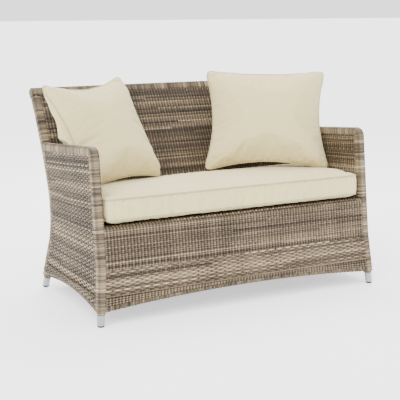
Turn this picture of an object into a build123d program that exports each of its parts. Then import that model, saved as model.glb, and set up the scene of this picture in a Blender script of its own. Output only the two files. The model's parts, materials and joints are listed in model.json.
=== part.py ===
"""Two seat garden sofa: a bent aluminium tube frame, woven skins seated on it, and loose cushions.

Millimetres. X runs along the seat, the sitter looks towards -Y, and +Z is up.
The origin is on the floor, under the middle of the whole sofa.
"""

from build123d import *
from math import asin, cos, degrees, radians, sin, tan
import os

# Tubes of the frame
post_dia = 25.0
post_wall = 1.6
rail_dia = 16.0
rail_wall = 1.4
strut_dia = 12.0
strut_wall = 1.2
top_dia = 28.0             # top rail of the back
side_dia = 22.0            # seat rails at the sides
rail_inset = 2.0           # how far a rail's face stays behind the posts' face
bar_inset = 0.4            # how far a cross bar's top stays below the seat rails' tops

# Weave over the tubes
weave = 6.0                # thickness of a woven skin
weave_gap = 0.3            # between a tube and the skin over it
wrap_corner = 11.0         # rounding of the wrapped posts, arms and top
wrap_step = 0.6            # each wrap lies this much inside the one that it ends against

# Stance, seen from the front
post_spread = 1205.0       # between the centres of the posts above the knees
leg_splay = 18.5           # how far each leg leans out from its knee to the floor
knee_height = 222.0

# Front post and arm, seen from the side
front_lean = 7.1           # degrees from upright
arm_height = 663.0         # top of the wrapped arm at its front corner
arm_slope = 5.5            # degrees down towards the back
arm_bend = 22.0            # radius of the tube's middle at the front corner

# Rear post, seen from the side: a straight leg, an arc round the waist, a long arc up the back
foot_spacing = 606.0       # front foot to rear foot
leg_lean = 19.0            # degrees that the rear leg leans in towards the seat
waist_radius = 332.0
seat_lean = 21.5           # degrees of recline where the waist arc ends
back_radius = 2040.0
top_rail_z = 808.2         # middle of the top rail

# Seat deck and rails
deck_height = 367.0        # top of the rolled front edge of the seat
deck_slope = 3.0           # degrees down towards the back
bar_spread = 496.0         # between the two cross bars, and between the struts
stile_offset = 22.0        # stiles of the back stand this far outside the cross bars
mid_rail_height = 205.0    # rail behind the front skin
hem_height = 54.0          # lower edge of the skins beside the legs
hem_rise = 28.0            # how far the hem arches up in the middle
hem_straight = 60.0        # straight length at each end of a hem rail

# Feet
sleeve_dia = 28.0
sleeve_gap = 0.1           # between a post and its sleeve
glide_dia = 27.0
glide_rim = 4.0            # straight part of the glide's edge
glide_height = 7.0
glide_stem = 24.0          # how far the glide's stem goes up into the tube
stem_gap = 0.1
collar_height = 10.0       # taper of the weave on to the leg
collar_gap = 0.4

# Seat cushion
cushion_side_gap = 10.0    # between the cushion and each arm
cushion_back_gap = 9.0
cushion_overhang = -6.0    # how far its front stands before the rolled edge
seam_height = 18.0         # lower seam above the deck
band_height = 83.0         # between the two seams
seat_crown = 14.0
seat_draw = 5.0            # how far each side pulls in between its corners
seat_bulge = 4.0           # how far the band swells between its seams
seat_corner = 26.0
piping_dia = 6.0
piping_gap = 0.5           # between a piping and the seam that it is sewn to
cloth = 1.5                # thickness of the covers
cloth_gap = 0.3
soft_gap = 0.3             # between soft pieces and what they rest on
zip_length = 820.0
zip_width = 24.0
zip_proud = 0.5            # how far the zip stands out of the cover

# Scatter pillows
pillow_height = 448.0
pillow_draw = 13.0         # how far each side pulls in between its ears
pillow_corner = 12.0
pillow_piping_dia = 5.0

overrun = 40.0             # cutting solids reach this far past what they cut

# Left and right pillow: width, belly, place of the middle, turn, lean and tip in degrees
left_pillow_width = 408.0
left_pillow_belly = 74.0
left_pillow_place = (-398.0, 94.0, 664.9)
left_pillow_turn = 15.0
left_pillow_lean = 32.0
left_pillow_tip = 3.0
right_pillow_width = 500.0
right_pillow_belly = 70.0
right_pillow_place = (350.0, 48.0, 679.2)
right_pillow_turn = -24.0
right_pillow_lean = 25.0
right_pillow_tip = -1.0

# Sizes that follow from these
post_r = post_dia / 2
rail_r = rail_dia / 2
strut_r = strut_dia / 2
top_r = top_dia / 2
side_r = side_dia / 2
post_x = post_spread / 2
foot_x = post_x + leg_splay
bar_x = bar_spread / 2
stile_x = bar_x + stile_offset
skin_in = post_r + weave_gap               # from a tube's middle to the inner face of a skin
skin_out = skin_in + weave                 # and to the outer face of a rear post's wrap
top_out = skin_out + wrap_step             # top rail's wrap, which stands over the rear posts' wraps
arm_out = skin_out - wrap_step             # arm's wrap, which ends against the rear post's wrap
panel_out = arm_out - wrap_step            # panels, which end against all the wraps
rail_shift = post_r - rail_r - rail_inset  # brings a rail's face near the posts' face
arm_corner_z = arm_height - arm_out
waist_z = knee_height + waist_radius * sin(radians(leg_lean))
waist_top_z = waist_z + waist_radius * sin(radians(seat_lean))
top_lean = degrees(asin(sin(radians(seat_lean)) + (top_rail_z - waist_top_z) / back_radius))


top_reach = (top_out - wrap_corner) * (sin(radians(top_lean)) + cos(radians(top_lean))) + wrap_corner
back_height = top_rail_z + top_reach       # top of the wrapped top rail
toe_reach = sleeve_dia / 2 / cos(radians(front_lean)) - glide_height * tan(radians(front_lean))


def setback(height):
    """Distance from the rear foot back to the rear post's middle line at a height."""
    leg = -min(height, knee_height) * tan(radians(leg_lean))
    if height <= knee_height:
        return leg
    waist = leg - waist_radius * (1 - cos(radians(leg_lean)))
    if height <= waist_top_z:
        lean = asin((height - waist_z) / waist_radius)
        return waist + waist_radius * (1 - cos(lean))
    waist += waist_radius * (1 - cos(radians(seat_lean)))
    lean = asin(sin(radians(seat_lean)) + (height - waist_top_z) / back_radius)
    return waist + back_radius * (cos(radians(seat_lean)) - cos(lean))


overall_depth = toe_reach + foot_spacing + setback(top_rail_z) + top_reach
front_foot_y = toe_reach - overall_depth / 2
rear_foot_y = front_foot_y + foot_spacing


def front_y(height):
    """Middle line of the front post at a height."""
    return front_foot_y + height * tan(radians(front_lean))


def rear_y(height):
    """Middle line of the rear post at a height."""
    return rear_foot_y + setback(height)


front_rail_z = deck_height - panel_out
front_rail_y = front_y(front_rail_z)
rear_rail_z = front_rail_z - (rear_y(front_rail_z) - front_rail_y) * tan(radians(deck_slope))
rear_rail_y = rear_y(rear_rail_z)
arm_end_z = arm_corner_z
for _ in range(4):
    arm_end_z = arm_corner_z - (rear_y(arm_end_z) - front_y(arm_corner_z)) * tan(radians(arm_slope))
arm_end_y = rear_y(arm_end_z)
arm_corner = (front_y(arm_corner_z), arm_corner_z)

front_foot = Vector(foot_x, front_foot_y, 0)
front_knee = Vector(post_x, front_y(knee_height), knee_height)
rear_foot = Vector(foot_x, rear_foot_y, 0)
rear_knee = Vector(post_x, rear_y(knee_height), knee_height)


def x_at(height):
    """Half spread of the posts' middle lines at a height."""
    return post_x + leg_splay * max(knee_height - height, 0) / knee_height


def rear_curve(shift):
    """Rear post's line in the side view, moved by shift towards the back: leg, waist and back."""
    normal = Vector(cos(radians(leg_lean)), sin(radians(leg_lean))) * shift
    up = (-sin(radians(leg_lean)), cos(radians(leg_lean)))
    knee = Vector(rear_knee.Y, rear_knee.Z) + normal
    leg = Line(Vector(rear_foot.Y, rear_foot.Z) + normal, knee)
    waist = JernArc(knee, up, waist_radius - shift, -(leg_lean + seat_lean))
    back = JernArc(waist @ 1, waist % 1, back_radius - shift, -(top_lean - seat_lean))
    return leg, waist, back


def rear_sheet(near, far):
    """Side view face between two shifts of the rear post's line."""
    with BuildSketch(Plane.YZ) as sheet:
        with BuildLine():
            inner = rear_curve(near)
            outer = rear_curve(far)
            Line(inner[0] @ 0, outer[0] @ 0)
            Line(inner[2] @ 1, outer[2] @ 1)
        make_face()
    return sheet.sketch


def before_rear(shift):
    """All that lies in front of the rear post's line moved by shift, as a flat face."""
    with BuildSketch() as region:
        with BuildLine():
            leg, _, back = rear_curve(shift)
            Polyline(leg @ 0, (-overall_depth, (leg @ 0).Y), (-overall_depth, (back @ 1).Y), back @ 1)
        make_face()
    return region.sketch


def rod(start, end, radius):
    """Straight round bar between two points."""
    with BuildPart() as bar:
        with BuildSketch(Plane(origin=start, z_dir=end - start)):
            Circle(radius)
        extrude(amount=(end - start).length)
    return bar.part


def disc(radius):
    """Round section."""
    with BuildSketch() as section:
        Circle(radius)
    return section.sketch


def carried(path, section, x_dir=None):
    """A flat section carried along a path of lines and arcs: each line extruded, each arc revolved."""
    with BuildPart() as bar:
        for edge in path.edges():
            start, way = edge @ 0, edge % 0
            with BuildSketch(Plane(origin=start, x_dir=x_dir, z_dir=way)):
                add(section)
            if edge.geom_type == GeomType.LINE:
                extrude(amount=edge.length)
            else:
                centre = edge.arc_center
                pivot = Axis(centre, (start - centre).cross(way))
                revolve(axis=pivot, revolution_arc=degrees(edge.length / edge.radius))
    return bar.part


def member(foot, knee, path, radius):
    """Leg, ball at its knee and the bent run above, all of one radius."""
    with BuildPart() as bar:
        add(rod(foot, knee, radius))
        with Locations(knee):
            Sphere(radius)
        add(carried(path, disc(radius)))
    return bar.part


def wrapped(foot, knee, path, reach):
    """The space that a leg and the run above it fill with their weave on: a rounded square."""
    with BuildSketch() as section:
        RectangleRounded(2 * reach, 2 * reach, wrap_corner)
    with BuildPart() as wrap:
        with BuildSketch(Plane(origin=knee, x_dir=(1, 0, 0), z_dir=path % 0)):
            add(section.sketch)
        extrude(amount=(foot - knee).length, dir=foot - knee)
        add(carried(path, section.sketch, (1, 0, 0)))
    return wrap.part


def tube(solid, bore):
    """A bar less its bore."""
    with BuildPart() as hollow:
        add(solid)
        add(bore, mode=Mode.SUBTRACT)
    return hollow.part


# Lines that the posts and arms follow, on the right hand side
with BuildLine(Plane.YZ.offset(post_x)) as arm_line:
    FilletPolyline(
        (front_knee.Y, knee_height),
        arm_corner,
        (arm_end_y, arm_end_z),
        radius=arm_bend,
    )
arm_path = arm_line.wire()


def rear_run(x, shift, first=0):
    """Path along the rear post's line at a distance from the middle, from its first stretch on."""
    with BuildLine() as line:
        stretches = rear_curve(shift)
    return Plane.YZ.offset(x) * Wire(stretches[first:])


rear_path = rear_run(post_x, 0, 1)

front_solid = member(front_foot, front_knee, arm_path, post_r)
rear_solid = member(rear_foot, rear_knee, rear_path, post_r)
front_bore = member(front_foot, front_knee, arm_path, post_r - post_wall)
rear_bore = member(rear_foot, rear_knee, rear_path, post_r - post_wall)
front_space = member(front_foot, front_knee, arm_path, skin_in)
rear_space = member(rear_foot, rear_knee, rear_path, skin_in)
front_wrap_solid = wrapped(front_foot, front_knee, arm_path, arm_out)
rear_wrap_solid = wrapped(rear_foot, rear_knee, rear_path, skin_out)

# Rails that run from side to side or front to back
top_plane = Plane(
    origin=(0, rear_y(top_rail_z), top_rail_z),
    x_dir=(0, cos(radians(top_lean)), -sin(radians(top_lean))),
    z_dir=(1, 0, 0),
)
front_up = Vector(0, sin(radians(front_lean)), cos(radians(front_lean)))
rear_up = Vector(0, -sin(radians(leg_lean)), cos(radians(leg_lean)))
deck_way = Vector(0, cos(radians(deck_slope)), -sin(radians(deck_slope)))
deck_up = Vector(0, sin(radians(deck_slope)), cos(radians(deck_slope)))
front_plane = Plane(origin=(0, front_foot_y, 0), x_dir=(1, 0, 0), z_dir=Vector(1, 0, 0).cross(front_up))
rear_plane = Plane(origin=(0, rear_foot_y, 0), x_dir=(1, 0, 0), z_dir=Vector(1, 0, 0).cross(rear_up))
side_plane = Plane(origin=(foot_x, 0, 0), x_dir=(0, 1, 0), z_dir=(knee_height, 0, leg_splay))
hem_rail_z = hem_height + weave + weave_gap + rail_r


def side_to_side(y, z, half, radius):
    """Round bar along X at a place in the side view."""
    return rod(Vector(-half, y, z), Vector(half, y, z), radius)


def arched(plane, start, end, height, stretch, radius):
    """Round bar on a leaning plane, which arches over a hem between two straight ends."""
    with BuildLine(plane) as whole:
        ThreePointArc(
            (start, height * stretch),
            ((start + end) / 2, (height + hem_rise) * stretch),
            (end, height * stretch),
        )
    arch = whole.wire()
    first = hem_straight / arch.length
    last = 1 - first
    with BuildLine() as path:
        Line(arch @ first - (arch % first) * hem_straight, arch @ first)
        ThreePointArc(arch @ first, arch @ 0.5, arch @ last)
        Line(arch @ last, arch @ last + (arch % last) * hem_straight)
    return carried(path.wire(), disc(radius))


front_rise = 1 / cos(radians(front_lean))
rear_rise = 1 / cos(radians(leg_lean))
side_rise = (leg_splay**2 + knee_height**2) ** 0.5 / knee_height
hem_x = x_at(hem_rail_z)
hem_front_y = front_y(hem_rail_z)
hem_rear_y = rear_y(hem_rail_z)
mid_x = x_at(mid_rail_height)


def front_hem(radius):
    """Arched bar behind the front hem."""
    return arched(front_plane.offset(rail_shift), -hem_x, hem_x, hem_rail_z, front_rise, radius)


def rear_hem(radius):
    """Arched bar before the rear hem."""
    return arched(rear_plane.offset(-rail_shift), -hem_x, hem_x, hem_rail_z, rear_rise, radius)


def side_hem(radius):
    """Arched bar inside the right hand hem."""
    return arched(side_plane.offset(rail_shift), hem_front_y, hem_rear_y, hem_rail_z, side_rise, radius)


def mid_rail(radius):
    """Bar behind the front skin, level with the posts' faces."""
    y = front_y(mid_rail_height) - rail_shift
    return side_to_side(y, mid_rail_height, mid_x, radius)


def seat_side(radius):
    """Right hand seat rail, from front post to rear post."""
    return rod(Vector(post_x, front_rail_y, front_rail_z), Vector(post_x, rear_rail_y, rear_rail_z), radius)


def front_seat(radius):
    """Front seat rail."""
    return side_to_side(front_rail_y, front_rail_z, post_x, radius)


def rear_seat(radius):
    """Rear seat rail."""
    return side_to_side(rear_rail_y, rear_rail_z, post_x, radius)


def top_rail(radius, half):
    """Top rail of the back."""
    return side_to_side(rear_y(top_rail_z), top_rail_z, half, radius)


post_solids = [front_solid, rear_solid]
post_solids += [mirror(solid, about=Plane.YZ) for solid in post_solids]

# Posts, arms and rails
with BuildPart() as arm_tube_right:
    add(tube(front_solid, front_bore))
    add(rear_solid, mode=Mode.SUBTRACT)
    split(bisect_by=Plane.XY.offset(glide_height), keep=Keep.TOP)

with BuildPart() as rear_post_right:
    add(tube(rear_solid, rear_bore))
    add(top_rail(top_r, foot_x), mode=Mode.SUBTRACT)
    split(bisect_by=Plane.XY.offset(glide_height), keep=Keep.TOP)

with BuildPart() as back_top_rail:
    top_half = post_x + post_r
    add(tube(top_rail(top_r, top_half), top_rail(top_r - post_wall, top_half)))


def between_solids(outer, bore, solids):
    """A hollow bar whose ends are cut to seat on the bars that it meets."""
    with BuildPart() as rail:
        add(tube(outer, bore))
        for solid in solids:
            add(solid, mode=Mode.SUBTRACT)
    return rail


seat_front_rail = between_solids(front_seat(post_r), front_seat(post_r - post_wall), post_solids)
seat_rear_rail = between_solids(rear_seat(post_r), rear_seat(post_r - post_wall), post_solids)
seat_solids = [front_seat(post_r), rear_seat(post_r)]
seat_side_rail_right = between_solids(
    seat_side(side_r), seat_side(side_r - post_wall), post_solids + seat_solids)
front_mid_rail = between_solids(mid_rail(rail_r), mid_rail(rail_r - rail_wall), post_solids)
front_hem_rail = between_solids(front_hem(rail_r), front_hem(rail_r - rail_wall), post_solids)
rear_hem_rail = between_solids(rear_hem(rail_r), rear_hem(rail_r - rail_wall), post_solids)
side_hem_rail_right = between_solids(side_hem(rail_r), side_hem(rail_r - rail_wall), post_solids)


def cross_bar(radius):
    """Bar under the deck, level with the tops of the seat rails."""
    lift = deck_up * (post_r - rail_r - bar_inset)
    start = Vector(bar_x, front_rail_y, front_rail_z) + lift
    return rod(start, Vector(bar_x, rear_rail_y, rear_rail_z) + lift, radius)


def arch_lift(x):
    """How far the front hem arches up at a distance from the middle."""
    arch_r = (hem_x**2 + hem_rise**2) / (2 * hem_rise)
    return hem_rise - arch_r + (arch_r**2 - x**2) ** 0.5


def strut(radius):
    """Upright behind the front skin, from below the hem rail to above the mid rail."""
    foot = Vector(bar_x, front_foot_y - rail_shift, 0)
    return rod(foot, foot + front_up * front_rail_z, radius)


def stile(x, radius, shift):
    """Bar that follows the rear posts' line between the side posts."""
    return carried(rear_run(x, shift), disc(radius))


seat_cross_bar_right = between_solids(cross_bar(rail_r), cross_bar(rail_r - rail_wall), seat_solids)
with BuildPart() as front_strut_right:
    add(tube(strut(strut_r), strut(strut_r - strut_wall)))
    split(bisect_by=Plane.XY.offset(mid_rail_height), keep=Keep.BOTTOM)
    split(bisect_by=Plane.XY.offset(hem_rail_z + arch_lift(bar_x)), keep=Keep.TOP)
    add(mid_rail(rail_r), mode=Mode.SUBTRACT)
    add(front_hem(rail_r), mode=Mode.SUBTRACT)

with BuildPart() as back_stile_right:
    add(tube(stile(stile_x, rail_r, -rail_shift), stile(stile_x, rail_r - rail_wall, -rail_shift)))
    split(bisect_by=Plane.XY.offset(rear_rail_z), keep=Keep.TOP)
    add(rear_seat(post_r), mode=Mode.SUBTRACT)
    add(top_rail(top_r, foot_x), mode=Mode.SUBTRACT)

with BuildPart() as rear_strut_right:
    add(tube(stile(bar_x, strut_r, rail_shift), stile(bar_x, strut_r - strut_wall, rail_shift)))
    split(bisect_by=Plane.XY.offset(rear_rail_z), keep=Keep.BOTTOM)
    split(bisect_by=Plane.XY.offset(hem_rail_z + arch_lift(bar_x)), keep=Keep.TOP)
    add(rear_seat(post_r), mode=Mode.SUBTRACT)
    add(rear_hem(rail_r), mode=Mode.SUBTRACT)

# Feet: a bright sleeve over the end of each post and a domed glide pressed into it
foot_parts = {}
for row, foot, knee in (("front", front_foot, front_knee), ("rear", rear_foot, rear_knee)):
    with BuildPart() as sleeve:
        add(tube(rod(foot, knee, sleeve_dia / 2), rod(foot, knee, post_r + sleeve_gap)))
        split(bisect_by=Plane.XY.offset(glide_height), keep=Keep.TOP)
        split(bisect_by=Plane.XY.offset(hem_height - collar_height), keep=Keep.BOTTOM)
    with BuildPart() as glide:
        with BuildSketch(Plane.XY.offset(glide_height)):
            with Locations((foot.X + (knee.X - foot.X) * glide_height / knee_height,
                            foot.Y + (knee.Y - foot.Y) * glide_height / knee_height)):
                Circle(glide_dia / 2)
        extrude(amount=-glide_height)
        chamfer(glide.edges().sort_by(Axis.Z)[0], glide_height - glide_rim)
        leg_way = (knee - foot).normalized()
        add(rod(foot + leg_way * glide_rim, foot + leg_way * glide_stem, post_r - post_wall - stem_gap))
    foot_parts[row] = (sleeve, glide)

# Weave round the posts and arms, open where a rail goes through
through = [
    front_seat(post_r + weave_gap),
    rear_seat(post_r + weave_gap),
    seat_side(side_r + weave_gap),
    mid_rail(rail_r + weave_gap),
    front_hem(rail_r + weave_gap),
    rear_hem(rail_r + weave_gap),
    side_hem(rail_r + weave_gap),
]
with BuildPart() as top_wrap_solid:
    with BuildSketch(top_plane.offset(-post_x - top_out)):
        RectangleRounded(2 * top_out, 2 * top_out, wrap_corner)
    extrude(amount=2 * (post_x + top_out))


def collar(foot, knee, space, reach):
    """Short taper of weave from a wrapped leg down on to its bare sleeve."""
    low = hem_height - collar_height
    with BuildPart() as taper:
        for height, side, corner in (
            (low, sleeve_dia + 2 * collar_gap, sleeve_dia / 2),
            (hem_height, 2 * (reach - wrap_step), wrap_corner),
        ):
            middle = foot + (knee - foot) * (height / knee_height)
            with BuildSketch(Plane(origin=middle, x_dir=(1, 0, 0), z_dir=(0, 0, 1))):
                RectangleRounded(side, side, corner)
        loft(ruled=True)
        add(space, mode=Mode.SUBTRACT)
    return taper.part


def post_wrap(solid, space, foot, knee, reach, cuts):
    """Woven wrap of a post, from its collar up."""
    with BuildPart() as wrap:
        add(solid)
        split(bisect_by=Plane.XY.offset(hem_height), keep=Keep.TOP)
        add(space, mode=Mode.SUBTRACT)
        for cut in cuts:
            add(cut, mode=Mode.SUBTRACT)
        add(collar(foot, knee, space, reach))
    return wrap


arm_cuts = [rear_wrap_solid] + through
arm_wrap_right = post_wrap(front_wrap_solid, front_space, front_foot, front_knee, arm_out, arm_cuts)
rear_cuts = [top_wrap_solid.part, front_space] + through
rear_wrap_right = post_wrap(rear_wrap_solid, rear_space, rear_foot, rear_knee, skin_out, rear_cuts)

stile_space = stile(stile_x, rail_r + weave_gap, -rail_shift)
stile_spaces = [stile_space, mirror(stile_space, about=Plane.YZ)]
with BuildPart() as back_top_wrap:
    add(top_wrap_solid.part)
    add(top_rail(top_r + weave_gap, post_x + skin_in), mode=Mode.SUBTRACT)
    add(rear_space, mode=Mode.SUBTRACT)
    add(mirror(rear_space, about=Plane.YZ), mode=Mode.SUBTRACT)
    for solid in stile_spaces:
        add(solid, mode=Mode.SUBTRACT)

wrap_solids = [front_wrap_solid, rear_wrap_solid]
wrap_solids += [mirror(solid, about=Plane.YZ) for solid in wrap_solids]


def front_view(top, low, rise, thick=None):
    """Front view face between the posts' middle lines, over an arched hem.

    With thick it is only the band of that height along the hem.
    """
    with BuildSketch(Plane.XZ) as view:
        with BuildLine():
            half = x_at(low)
            ThreePointArc((-half, low), (0, low + rise), (half, low))
            if thick is None:
                Polyline((half, low), (post_x, knee_height), (post_x, top), (-post_x, top),
                         (-post_x, knee_height), (-half, low))
            else:
                upper = low + thick
                Line((half, low), (half, upper))
                ThreePointArc((half, upper), (0, upper + rise), (-half, upper))
                Line((-half, upper), (-half, low))
        make_face()
    return view.sketch


def leaning_strip(plane_y, lean, near, far, top):
    """Side view strip beside a straight leg, from the floor to a height."""
    run = tan(radians(lean))
    with BuildSketch(Plane.YZ) as strip:
        with BuildLine():
            Polyline((plane_y + near, 0), (plane_y + near + top * run, top),
                     (plane_y + far + top * run, top), (plane_y + far, 0), close=True)
        make_face()
    return strip.sketch


def hem_lip(strip, view):
    """Fold of the weave under a hem rail."""
    with BuildPart() as lip:
        extrude(strip, amount=overall_depth, both=True)
        extrude(view, amount=overall_depth, both=True, mode=Mode.INTERSECT)
    return lip.part


def seat_skin(sheet, views, lip, cuts):
    """Sheet of weave: a side view section, trimmed to a front view, folded at its hem, less its cuts."""
    with BuildPart() as skin:
        extrude(sheet, amount=side_reach, both=True)
        for view in views:
            extrude(view, amount=overall_depth, both=True, mode=Mode.INTERSECT)
        if lip is not None:
            add(lip)
        for cut in cuts:
            add(cut, mode=Mode.SUBTRACT)
    return skin


# Front skin, which rolls over the front seat rail
face_in = Vector(0, -cos(radians(front_lean)), sin(radians(front_lean)))
rail_spot = Vector(0, front_rail_y, front_rail_z)
roll = 90 - front_lean + deck_slope
with BuildSketch(Plane.YZ) as apron_section:
    with BuildLine():
        ends = []
        for reach in (skin_in, panel_out):
            top = rail_spot + face_in * reach
            low = top - front_up * (top.Z / cos(radians(front_lean)))
            Line((low.Y, low.Z), (top.Y, top.Z))
            rolled = JernArc((top.Y, top.Z), (front_up.Y, front_up.Z), reach, -roll)
            ends.append(((low.Y, low.Z), rolled @ 1))
        Line(ends[0][0], ends[1][0])
        Line(ends[0][1], ends[1][1])
    make_face()

lip_depth = rail_dia + weave_gap
side_reach = foot_x + skin_out + overrun
front_lip = hem_lip(
    leaning_strip(front_foot_y, front_lean, -panel_out, lip_depth - skin_in, knee_height),
    front_view(back_height, hem_height, hem_rise, weave),
)
front_skin = seat_skin(
    apron_section.sketch,
    [front_view(deck_height + overrun, hem_height, hem_rise)],
    front_lip,
    wrap_solids,
)

rear_lip = hem_lip(
    leaning_strip(rear_foot_y, -leg_lean, skin_in - lip_depth, panel_out, knee_height),
    front_view(back_height, hem_height, hem_rise, weave),
)
rear_skin = seat_skin(
    rear_sheet(skin_in, panel_out),
    [front_view(back_height, hem_height, hem_rise)],
    rear_lip,
    wrap_solids + [top_wrap_solid.part],
)

# Inner skin of the back, from the seat rail to the top
back_low_z = rear_rail_z + panel_out
with BuildSketch(Plane.XZ) as back_outline:
    with BuildLine():
        Polyline((-post_x, back_low_z), (post_x, back_low_z), (post_x, back_height),
                 (-post_x, back_height), close=True)
    make_face()
back_skin = seat_skin(
    rear_sheet(-panel_out, -skin_in),
    [back_outline.sketch],
    None,
    wrap_solids + [top_wrap_solid.part],
)

# Outer side skin, which flares with the leg below the knee
with BuildSketch(Plane.XZ) as side_section:
    with BuildLine():
        Polyline(
            (post_x + skin_in, back_height), (post_x + skin_in, knee_height),
            (foot_x + skin_in, 0), (foot_x + panel_out, 0),
            (post_x + panel_out, knee_height), (post_x + panel_out, back_height), close=True)
    make_face()
with BuildSketch(Plane.XZ) as side_lip_section:
    with BuildLine():
        Polyline(
            (post_x + skin_in - lip_depth, knee_height), (foot_x + skin_in - lip_depth, 0),
            (foot_x + panel_out, 0), (post_x + panel_out, knee_height), close=True)
    make_face()


def side_view(low, thick=None):
    """Side view face from the front post to the rear post, under the arm and over the hem."""
    start = (hem_front_y, low)
    end = (hem_rear_y, low)
    crest = ((start[0] + end[0]) / 2, low + hem_rise)
    with BuildSketch(Plane.YZ) as view:
        with BuildLine():
            ThreePointArc(start, crest, end)
            if thick is None:
                Polyline(end, (rear_y(top_rail_z), low), (rear_y(top_rail_z), arm_end_z),
                         (arm_end_y, arm_end_z))
                FilletPolyline((arm_end_y, arm_end_z), arm_corner, start, radius=arm_bend)
            else:
                Line(end, (end[0], low + thick))
                ThreePointArc((end[0], low + thick), (crest[0], crest[1] + thick), (start[0], low + thick))
                Line((start[0], low + thick), start)
        make_face()
        if thick is None:
            add(before_rear(0), mode=Mode.INTERSECT)
    return view.sketch


with BuildPart() as side_lip:
    extrude(side_lip_section.sketch, amount=overall_depth, both=True)
    extrude(side_view(hem_height, weave), amount=side_reach, mode=Mode.INTERSECT)
with BuildPart() as side_skin_right:
    extrude(side_section.sketch, amount=overall_depth, both=True)
    extrude(side_view(hem_height), amount=side_reach, mode=Mode.INTERSECT)
    add(side_lip.part)
    for cut in (front_wrap_solid, rear_wrap_solid):
        add(cut, mode=Mode.SUBTRACT)

# Lining inside each arm, down to the deck
with BuildSketch(Plane.YZ) as lining_view:
    with BuildLine():
        reach = overall_depth
        low_front = rail_spot + deck_up * skin_in
        low_back = low_front + deck_way * reach
        high_back_z = arm_end_z - (reach - arm_end_y) * tan(radians(arm_slope))
        Polyline((low_front.Y, low_front.Z), (low_back.Y, low_back.Z), (reach, high_back_z))
        FilletPolyline((reach, high_back_z), arm_corner, (low_front.Y, low_front.Z), radius=arm_bend)
    make_face()
    add(before_rear(-panel_out), mode=Mode.INTERSECT)
with BuildPart() as arm_lining_right:
    with BuildSketch(Plane.XZ.offset(-overall_depth)):
        with Locations((post_x - (skin_in + panel_out) / 2, back_height / 2)):
            Rectangle(panel_out - skin_in, back_height)
    extrude(amount=2 * overall_depth)
    extrude(lining_view.sketch, amount=post_x, mode=Mode.INTERSECT)
    for cut in (front_wrap_solid, rear_wrap_solid):
        add(cut, mode=Mode.SUBTRACT)

# Woven deck of the seat
with BuildSketch(Plane.YZ) as deck_view:
    with BuildLine():
        low = rail_spot + deck_up * skin_in
        high = rail_spot + deck_up * panel_out
        Polyline(
            (low.Y, low.Z), ((low + deck_way * overall_depth).Y, (low + deck_way * overall_depth).Z),
            ((high + deck_way * overall_depth).Y, (high + deck_way * overall_depth).Z),
            (high.Y, high.Z), close=True)
    make_face()
    add(before_rear(-panel_out - weave_gap), mode=Mode.INTERSECT)
with BuildPart() as seat_deck:
    extrude(deck_view.sketch, amount=post_x - skin_out - weave_gap, both=True)
    for cut in wrap_solids:
        add(cut, mode=Mode.SUBTRACT)

# Seat cushion, on the deck between the arms
cushion_width = 2 * (post_x - skin_out - cushion_side_gap)
cushion_front_y = front_rail_y - panel_out - cushion_overhang
cushion_back_y = rear_y(rear_rail_z + panel_out + seam_height) - panel_out - cushion_back_gap
cushion_depth = (cushion_back_y - cushion_front_y) / cos(radians(deck_slope))
cushion_middle_y = (cushion_front_y + cushion_back_y) / 2
deck_top = rail_spot + deck_up * panel_out
cushion_plane = Plane(
    origin=deck_top + deck_way * ((cushion_middle_y - deck_top.Y) / deck_way.Y),
    x_dir=(1, 0, 0),
    z_dir=deck_up,
)
crown_rise_share = (0.55, 0.86, 1.0)
crown_inset_share = (0.07, 0.2, 0.36)
belly_rise_share = (0.45, 0.0)
belly_inset_share = (0.045, 0.13)


def cushion_outline(plane, width, depth, draw_x, draw_y, corner):
    """Face with rounded corners, whose sides pull in between them, sideways and front to back."""
    x, y = width / 2, depth / 2
    with BuildSketch(plane) as face:
        with BuildLine():
            ThreePointArc((-x, -y), (0, draw_y - y), (x, -y))
            ThreePointArc((x, -y), (x - draw_x, 0), (x, y))
            ThreePointArc((x, y), (0, y - draw_y), (-x, y))
            ThreePointArc((-x, y), (draw_x - x, 0), (-x, -y))
        make_face()
        fillet(face.vertices(), corner)
    return face.sketch


def cushion_layer(height, inset, trim):
    """One level outline of the seat cushion, trimmed all round for what lies inside the cover."""
    less = 2 * (inset + trim)
    return cushion_outline(cushion_plane.offset(height), cushion_width - less, cushion_depth - less,
                           seat_draw, seat_draw, seat_corner)


def cushion_form(trim):
    """Boxed cushion: low belly, swelling band and crown, each made smaller by trim."""
    low = soft_gap + seam_height
    high = low + band_height
    top = high + seat_crown - trim
    bottom = soft_gap + trim
    belly = [(bottom + share * (low - bottom), inset * cushion_depth)
             for share, inset in zip(belly_rise_share, belly_inset_share)]
    crown = [(high + share * (top - high), inset * cushion_depth)
             for share, inset in zip(crown_rise_share, crown_inset_share)]
    with BuildPart() as form:
        loft([cushion_layer(low, 0, trim), cushion_layer((low + high) / 2, -seat_bulge, trim),
              cushion_layer(high, 0, trim)])
        loft([cushion_layer(high, 0, trim)] + [cushion_layer(*level, trim) for level in crown])
        loft([cushion_layer(low, 0, trim)] + [cushion_layer(*level, trim) for level in belly])
    return form.part


def piping_ring(height):
    """Piping that stands out round one seam of the seat cushion."""
    ring = cushion_layer(height, -piping_dia / 2 - piping_gap, 0)
    return carried(ring.face().outer_wire(), disc(piping_dia / 2))


lower_seam = soft_gap + seam_height
upper_seam = lower_seam + band_height
with BuildPart() as seat_piping_lower:
    add(piping_ring(lower_seam))
with BuildPart() as seat_piping_upper:
    add(piping_ring(upper_seam))

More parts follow.
